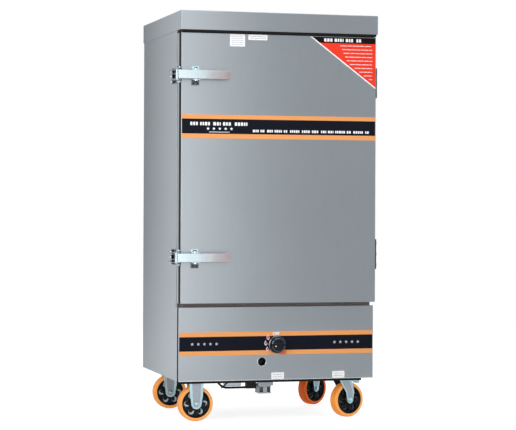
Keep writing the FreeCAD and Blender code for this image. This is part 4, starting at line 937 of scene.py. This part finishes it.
def leg_outline(top, half_top, trail, side, foot, axle):
    return (
        [(-half_top, top), (half_top, top), (trail + side, axle + SHOULDER)]
        + arc(trail, axle, foot, 8, -188, 16)
        + [(trail - side, axle + SHOULDER)]
    )


# Two pressed legs, each with a raised rib and the nut of the axle on its outside
def add_legs(mesh, ribs, place, top, trail, axle, side_half, foot):
    outline = leg_outline(top, LEG_HALF_TOP, trail, side_half, foot, axle)
    rib = leg_outline(top - 5 * MM, LEG_HALF_TOP * RIB_SHARE, trail, side_half * RIB_SHARE,
                      foot * RIB_SHARE, axle)
    for side in (1, -1):
        start = LEG_GAP * side + (LEG_GAUGE if side > 0 else 0)
        prism(mesh, outline, place @ facing(start), LEG_GAUGE)
        start = (LEG_GAP + LEG_GAUGE) * side + (RIB_DEPTH if side > 0 else 0)
        prism(ribs, rib, place @ facing(start), RIB_DEPTH)
        edge = (LEG_GAP + LEG_GAUGE + RIB_DEPTH) * side
        spot = place @ Vector((trail, edge, axle))
        turn = place.to_3x3() @ Vector((0, side, 0))
        hex_bolt(mesh, spot, turn, 7.2 * MM, 5.4 * MM)


def plate_outline(half_long, half_wide):
    return rounded(-half_long, half_long, -half_wide, half_wide, 8 * MM)


BOLT_HEAD = 5 * MM
BOLT_ALONG = 41 * MM
BOLT_ACROSS = 31 * MM


# Four nuts with their bolt ends, under a caster's plate
def plate_bolts(mesh, centre, under):
    for u in (-BOLT_ALONG, BOLT_ALONG):
        for v in (-BOLT_ACROSS, BOLT_ACROSS):
            x = centre.x + u
            y = centre.y + v
            hex_bolt(mesh, (x, y, under), (0, 0, -1), 5.8 * MM, BOLT_HEAD)
            hex_bolt(mesh, (x, y, under - BOLT_HEAD), (0, 0, -1), 4 * MM, 6 * MM)


def add_rigid_forks():
    top = high("rigid_caster_forks").z
    mesh = bmesh.new()
    ribs = bmesh.new()
    bolts = bmesh.new()
    for joint in ("left_front_roll", "left_rear_roll"):
        centre = pivot(joint)
        place = Matrix.Translation((centre.x, centre.y, 0))
        prism(mesh, plate_outline(50 * MM, 40 * MM), place @ lifted(top - 4 * MM), 4 * MM)
        add_legs(mesh, ribs, place, top - 4 * MM, 0, centre.z, 23.5 * MM, 19 * MM)
        prism(mesh, plate_outline(LEG_HALF_TOP, 24 * MM), place @ lifted(top - 8 * MM), 4 * MM)
        plate_bolts(bolts, centre, top - 4 * MM)
    # The legs take the bright copy and the ribs the plain zinc, as painted highlight on the legs'
    # edges
    make("rigid_forks_pressed", mesh, zinc_painted_highlight, "cabinet", 0.9 * MM, 40,
         ["rigid_caster_forks"])
    make("rigid_fork_ribs", ribs, zinc, "cabinet", 0.6 * MM)
    make("rigid_fork_bolts", bolts, zinc, "cabinet")


# The height of a swivel fork's top sheet, and that of the underside of its plate
CROWN = 137.5 * MM
SWIVEL_PLATE = 152 * MM
# The thickness of the black sheets on the legs' inner faces, painted shade
FORK_SHADE_GAUGE = 0.4 * MM


def add_swivel_fork(caster):
    body = caster + "_swivel"
    centre = pivot(body + "_turn")
    wheel = pivot(caster + "_roll")
    offset = Vector((wheel.x - centre.x, wheel.y - centre.y, 0))
    turn = math.atan2(offset.y, offset.x)
    place = Matrix.Translation((centre.x, centre.y, 0)) @ Matrix.Rotation(turn, 4, "Z")
    trail = offset.length
    mesh = bmesh.new()
    lathe(mesh, in_mm((0, -3), (27, -3), (30.5, 0), (31, 5), (29.5, 8.6), (20, 9), (0, 9)),
          place @ lifted(CROWN), 56)
    prism(mesh, rounded(-LEG_HALF_TOP, trail + 20 * MM, -24 * MM, 24 * MM, 9 * MM),
          place @ lifted(CROWN - 3 * MM), 3 * MM)
    ribs = bmesh.new()
    add_legs(mesh, ribs, place, CROWN - 1 * MM, trail, wheel.z, 18 * MM, 13 * MM)
    make(caster + "_fork_ribs", ribs, zinc, body, 0.6 * MM)
    make(caster + "_fork_pressed", mesh, zinc_painted_highlight, body, 0.8 * MM, 40,
         [caster + "_swivel_fork"])
    # Black sheets on the legs' inner faces, as painted shade between the legs
    inner_shade = bmesh.new()
    outline = leg_outline(CROWN - 3 * MM, 26 * MM, trail, 17 * MM, 12 * MM, wheel.z)
    for start in (LEG_GAP, FORK_SHADE_GAUGE - LEG_GAP):
        prism(inner_shade, outline, place @ facing(start), FORK_SHADE_GAUGE)
    make(caster + "_fork_inner_shade", inner_shade, pipe_and_shade_black, body)
    bolts = bmesh.new()
    plate_bolts(bolts, centre, SWIVEL_PLATE)
    make(caster + "_plate_bolts", bolts, zinc_painted_highlight, "cabinet")
    add_pedal(caster, place, trail)


PEDAL_HALF = 13 * MM
PEDAL_TOP = 1.3 * MM


# The tread of a brake pedal, drawn from its pin outwards, with a nose, ribs and the pin
def add_pedal(caster, place, trail):
    height = pivot(caster + "_brake_press").z
    start = trail + 14 * MM
    tread = [
        (start, height - 3 * MM), (start + 6 * MM, height + PEDAL_TOP),
        (start + 30 * MM, height + PEDAL_TOP), (start + 34 * MM, height - 3 * MM),
        (start + 34 * MM, height - 7 * MM), (start + 31.4 * MM, height - 7 * MM),
        (start + 31.4 * MM, height - 3.4 * MM), (start + 29 * MM, height - 1.2 * MM),
        (start + 6 * MM, height - 1.2 * MM),
    ]
    mesh = bmesh.new()
    prism(mesh, tread, place @ facing(PEDAL_HALF), 2 * PEDAL_HALF)
    nose = rounded(start + 23 * MM, start + 34 * MM, height - 10 * MM, height + PEDAL_TOP, 3 * MM)
    prism(mesh, nose, place @ facing(PEDAL_HALF), 2 * PEDAL_HALF)
    for rib in range(3):
        u = start + (12 + rib * 7) * MM
        prism(mesh, rounded(u, u + 2.4 * MM, height + 1.2 * MM, height + 2.2 * MM, 0.4 * MM),
              place @ facing(PEDAL_HALF * 0.8), PEDAL_HALF * 1.6)
    pin = place @ Matrix.Translation((start, 0, height)) @ Matrix.Rotation(math.pi / 2, 4, "X")
    lathe(mesh, in_mm((0, -16), (2.4, -16), (2.4, 16), (0, 16)), pin, 20)
    make(caster + "_brake_tread", mesh, zinc_painted_highlight, caster + "_brake",
         0.6 * MM, 40, [caster + "_brake_pedal"])


# Hinges, latches and other hardware

HINGE_LENGTH = 108 * MM
SCREW_SHARES = (0.14, 0.5, 0.86)
LEAF_FACE = WALL + 1.5 * MM
FLAP_INNER = WALL - 0.8 * MM
FLAP_OUTER = WALL + 2.2 * MM
FLAP_DEPTH = 25 * MM


def hinge_spans():
    bottom = low("hinge_frame_leaves").z
    top = high("hinge_frame_leaves").z
    return [(bottom, bottom + HINGE_LENGTH), (top - HINGE_LENGTH, top)]


# Screws on both leaves of each hinge, and a flap with domes over the door's leaf, dark as painted
# shade
def add_hinge_screws():
    frame_side = bmesh.new()
    door_side = bmesh.new()
    flaps = bmesh.new()
    leaf_back = high("hinge_frame_leaves").y
    leaf_front = low("hinge_door_leaves").y
    for lower, upper in hinge_spans():
        for share in SCREW_SHARES:
            z = lower + (upper - lower) * share
            dome_screw(frame_side, (WALL + 2.5 * MM, leaf_back - 12 * MM, z), (1, 0, 0),
                       4 * MM, 1.8 * MM)
            dome_screw(door_side, (LEAF_FACE, leaf_front + 12 * MM, z), (1, 0, 0),
                       4 * MM, 1.8 * MM)
    for lower, upper in hinge_spans():
        prism(flaps, rectangle(FLAP_INNER, FLAP_OUTER, lower, upper), facing(leaf_front),
              FLAP_DEPTH)
        for share in SCREW_SHARES:
            spot = (FLAP_OUTER, leaf_front - 15 * MM, lower + (upper - lower) * share)
            lathe(door_side, in_mm((0, 0), (7, 0), (6.4, 2.6), (4, 4.2), (0, 4.8)),
                  placed(spot, (1, 0, 0)), 24)
    make("hinge_door_flaps", flaps, painted_shade_steel, "door", 0.6 * MM)
    make("hinge_frame_screws", frame_side, bright_plate, "cabinet")
    make("hinge_door_screws", door_side, bright_plate, "door")


LATCHES = ("upper_latch_turn", "lower_latch_turn")

# Places on the keepers at the left wall, and sizes of the brackets on the door
KEEPER_FACE = -WALL - 2.5 * MM
KEEPER_NUTS = 114 * MM
NUT_PITCH = 18 * MM
ROLLER_X = -367.2 * MM
ROLLER_Y = -333.5 * MM
BRACKET_HALF = 13.5 * MM
BRACKET_TOP = 18.2 * MM
EAR_DEPTH = 4 * MM
FOOT_DEPTH = 5 * MM


# Three nuts on each keeper, and a washer and a dome on each end of its roller. The nuts' bases
# and the washers are dark, as painted shade round the domes
def add_keeper_nuts():
    nuts = bmesh.new()
    washers = bmesh.new()
    for joint in LATCHES:
        z = pivot(joint).z
        for rise in (-NUT_PITCH, 0, NUT_PITCH):
            spot = (KEEPER_FACE, low("latch_keepers").y + KEEPER_NUTS, z + rise)
            acorn_nut(washers, nuts, spot, (-1, 0, 0), 7.5 * MM)
        for way in (1, -1):
            spot = (ROLLER_X, ROLLER_Y, z + way * 20.4 * MM)
            lathe(washers, in_mm((0, 0), (6.8, 0), (6.8, 2.4), (0, 2.4)),
                  placed(spot, (0, 0, way)), 24)
            spot = (ROLLER_X, ROLLER_Y, z + way * 22.6 * MM)
            lathe(nuts, in_mm((0, 0), (6.5, 0), (6.2, 2.8), (4.2, 5.6), (0, 6.6)),
                  placed(spot, (0, 0, way)), 24)
    make("keeper_bolts", nuts, bright_plate, "cabinet")
    make("keeper_washers", washers, painted_shade_chrome, "cabinet")


# The ears, feet and screws of the door's brackets, and domes on the levers' pins. The ears are
# light, as painted highlight, and the feet and their screws dark, as painted shade
def add_latch_brackets():
    ear_screws = bmesh.new()
    ears = bmesh.new()
    feet = bmesh.new()
    foot_screws = bmesh.new()
    for joint in LATCHES:
        x, y, z = pivot(joint)
        for way in (1, -1):
            lathe(foot_screws, in_mm((0, 0), (5, 0), (4.6, 2.2), (2.6, 4), (0, 4.4)),
                  placed((x, y, z + way * 22.4 * MM), (0, 0, way)), 24)
        left = x - BRACKET_HALF
        right = x + BRACKET_HALF
        prism(ears, rounded(left, right, z + BRACKET_TOP, z + 29 * MM, 3 * MM),
              facing(DOOR_FACE), EAR_DEPTH)
        prism(feet, rounded(left, right, z - 37 * MM, z - BRACKET_TOP, 2 * MM),
              facing(DOOR_FACE), FOOT_DEPTH)
        for u in (-7, 7):
            spot = (x + u * MM, DOOR_FACE - EAR_DEPTH, z + 24.5 * MM)
            dome_screw(ear_screws, spot, FRONT, 2.6 * MM, 1.6 * MM)
            spot = (x + u * MM, DOOR_FACE - FOOT_DEPTH, z - 30 * MM)
            dome_screw(foot_screws, spot, FRONT, 3 * MM, 1.8 * MM)
    make("latch_pin_domes", ear_screws, bright_plate, "door")
    make("latch_bracket_ears", ears, zinc_painted_highlight, "door", 0.8 * MM)
    make("latch_bracket_feet", feet, painted_shade_steel, "door", 0.8 * MM)
    make("latch_foot_screws", foot_screws, knob_black, "door")


SCREW_ROWS = 9
SCREW_INSET = 24 * MM


def add_back_screws():
    mesh = bmesh.new()
    face = high("left_side_panel").y
    low_z = low("back_panel").z
    high_z = high("back_panel").z
    for side in (-1, 1):
        for step in range(SCREW_ROWS):
            reach = high_z - low_z - 2 * SCREW_INSET
            z = low_z + SCREW_INSET + reach * step / (SCREW_ROWS - 1)
            dome_screw(mesh, (side * (WALL - 13 * MM), face, z), (0, 1, 0), 4 * MM, 1.9 * MM)
    make("back_panel_screws", mesh, zinc, "cabinet")


LIGHTING_HOLE_X = -56 * MM
LIGHTING_HOLE_Z = 214 * MM


# A dark collar in the lighting hole, as painted shade that hides its lit inside, and a bright
# ring round it
def add_hole_ring():
    place = placed((LIGHTING_HOLE_X, PANEL_FACE, LIGHTING_HOLE_Z), FRONT)
    mesh = bmesh.new()
    lathe(mesh, in_mm((13.6, -36), (14.7, -36), (14.7, 0.3), (13.6, 0.3)), place, 40, True)
    make("lighting_hole_shade_collar", mesh, seal_and_shade_black, "cabinet")
    mesh = bmesh.new()
    lathe(mesh, in_mm((14.9, 0.05), (17.4, 0.05), (17, 0.8), (15.4, 1), (14.9, 0.6)),
          place, 40, True)
    make("lighting_hole_ring", mesh, bright_plate, "cabinet")


STRIP_GAUGE = 0.7 * MM
STRIP_RIGHT_END = 316 * MM
LID_GAP_SHADE_FACE = -300 * MM
HEM_LOW = 0.8 * MM
HEM_HIGH = 3.4 * MM


# Dark strips in the joints round the door and under the panel, as painted shade in those gaps, a
# brown strip behind the gap under the door, as painted shade in that seam, and the panel's light
# hem, as painted highlight
def add_joint_strips():
    left = -DOOR_EDGE - 3 * MM
    door_low = low("door_skin").z + 1 * MM
    mesh = bmesh.new()
    half = WALL - 3 * MM
    prism(mesh, rounded(-half, half, DOOR_TOP + 1 * MM, low("top_cover").z, 1 * MM),
          facing(LID_GAP_SHADE_FACE), 38 * MM)
    make("lid_gap_shade", mesh, seal_and_shade_black, "cabinet")
    mesh = bmesh.new()
    prism(mesh, rounded(left - STRIP_GAUGE, left, door_low, DOOR_TOP - 1 * MM, 0.2 * MM),
          facing(DOOR_FACE + 30 * MM), 28.6 * MM)
    make("door_edge_strip", mesh, seal_and_shade_black, "door")
    panel_low = low("control_panel").z
    panel_high = high("control_panel").z
    left = -PANEL_EDGE - 3 * MM
    mesh = bmesh.new()
    prism(mesh, rounded(left - STRIP_GAUGE, left, panel_low + 1 * MM, panel_high - 1 * MM,
                        0.2 * MM), facing(PANEL_FACE + 17 * MM), 16 * MM)
    prism(mesh, rounded(1 * MM - WALL, STRIP_RIGHT_END, panel_low - 7.5 * MM, panel_low,
                        0.8 * MM), facing(PANEL_FACE + 6 * MM), 5 * MM)
    make("panel_edge_strip", mesh, seal_and_shade_black, "cabinet")
    hem = rounded(-PANEL_EDGE, PANEL_EDGE, panel_low + HEM_LOW, panel_low + HEM_HIGH, 0.8 * MM)
    film("panel_hem_highlight", [hem], PANEL_FACE, 1, hem_painted_highlight, "cabinet")
    mesh = bmesh.new()
    half = WALL - 8 * MM
    prism(mesh, rounded(-half, half, panel_high, panel_high + 10 * MM, 0.8 * MM),
          facing(PANEL_FACE + 20 * MM), 3 * MM)
    make("panel_top_lip", mesh, lip_brown, "cabinet")


PILOT_RADIUS = 2.6 * MM
SHIELD_BACK = -179 * MM
SHIELD_GAUGE = 1.5 * MM


# The thin pilot tube that joins the feed pipe, and a light sheet behind both
def add_pilot_tube():
    front = low("gas_feed_pipe").y
    mesh = bmesh.new()
    tube(mesh, [
        Vector((-136 * MM, front - 2 * MM, 150 * MM)),
        Vector((-158 * MM, front - 2 * MM, 130.6 * MM)),
        Vector((-178 * MM, front, 113 * MM)),
    ], PILOT_RADIUS)
    make("pilot_tube", mesh, pipe_and_shade_black, "cabinet")
    mesh = bmesh.new()
    prism(mesh, rounded(-164 * MM, -98 * MM, 117 * MM, 158 * MM, 3 * MM), facing(SHIELD_BACK),
          SHIELD_GAUGE)
    make("pilot_shield", mesh, bright_plate, "cabinet", 0.4 * MM)


# A round bar along a list of points
def tube(mesh, path, radius, steps=10):
    rings = []
    for number, point in enumerate(path):
        ahead = path[min(number + 1, len(path) - 1)]
        behind = path[max(number - 1, 0)]
        place = placed(point, ahead - behind)
        rings.append([
            mesh.verts.new(place @ Vector((*around(0, 0, radius, 360 * step / steps), 0)))
            for step in range(steps)
        ])
    for first, second in zip(rings, rings[1:]):
        for step in range(steps):
            following = (step + 1) % steps
            mesh.faces.new([first[step], first[following], second[following], second[step]])
    mesh.faces.new(rings[0])
    mesh.faces.new(rings[-1])


INLET_X = -230 * MM
INLET_Z = 212 * MM
WATER_Y = 324 * MM
WATER_Z = 438 * MM
THREAD_PITCH = 1.8 * MM
THREAD_DEPTH = 0.5 * MM


# Threads on the gas inlet and the water inlet
def add_threads():
    mesh = bmesh.new()
    start = (INLET_X, high("gas_inlet_pipe").y - 18 * MM, INLET_Z)
    add_thread(mesh, start, (0, 1, 0), 8.4 * MM, 10.75 * MM, 17 * MM)
    make("inlet_thread", mesh, galvanised, "cabinet")
    mesh = bmesh.new()
    start = (high("float_valve").x - 16 * MM, WATER_Y, WATER_Z)
    add_thread(mesh, start, (1, 0, 0), 0, 10.9 * MM, 15.6 * MM)
    make("water_thread", mesh, brass, "cabinet")


def add_thread(mesh, start, direction, bore, radius, length):
    count = int(length / THREAD_PITCH)
    profile = [(bore, 0)]
    for turn in range(count):
        profile.append((radius - THREAD_DEPTH, turn * THREAD_PITCH))
        profile.append((radius, (turn + 0.5) * THREAD_PITCH))
    profile.append((radius - THREAD_DEPTH, count * THREAD_PITCH))
    profile.append((bore, count * THREAD_PITCH))
    lathe(mesh, profile, placed(start, direction), 36, bore > 0)


bpy.context.scene.view_settings.view_transform = "Standard"
set_camera()
set_world()
set_lamps()
add_floor()
dress_nodes()
add_door_marks()
add_corner_sticker()
add_labels()
add_panel_marks()
add_knob()
for wheel in ("left_front", "left_rear", "right_front", "right_rear"):
    add_wheel(wheel)
add_rigid_forks()
add_swivel_fork("right_front")
add_swivel_fork("right_rear")
add_hinge_screws()
add_keeper_nuts()
add_latch_brackets()
add_back_screws()
add_hole_ring()
add_joint_strips()
add_pilot_tube()
add_threads()
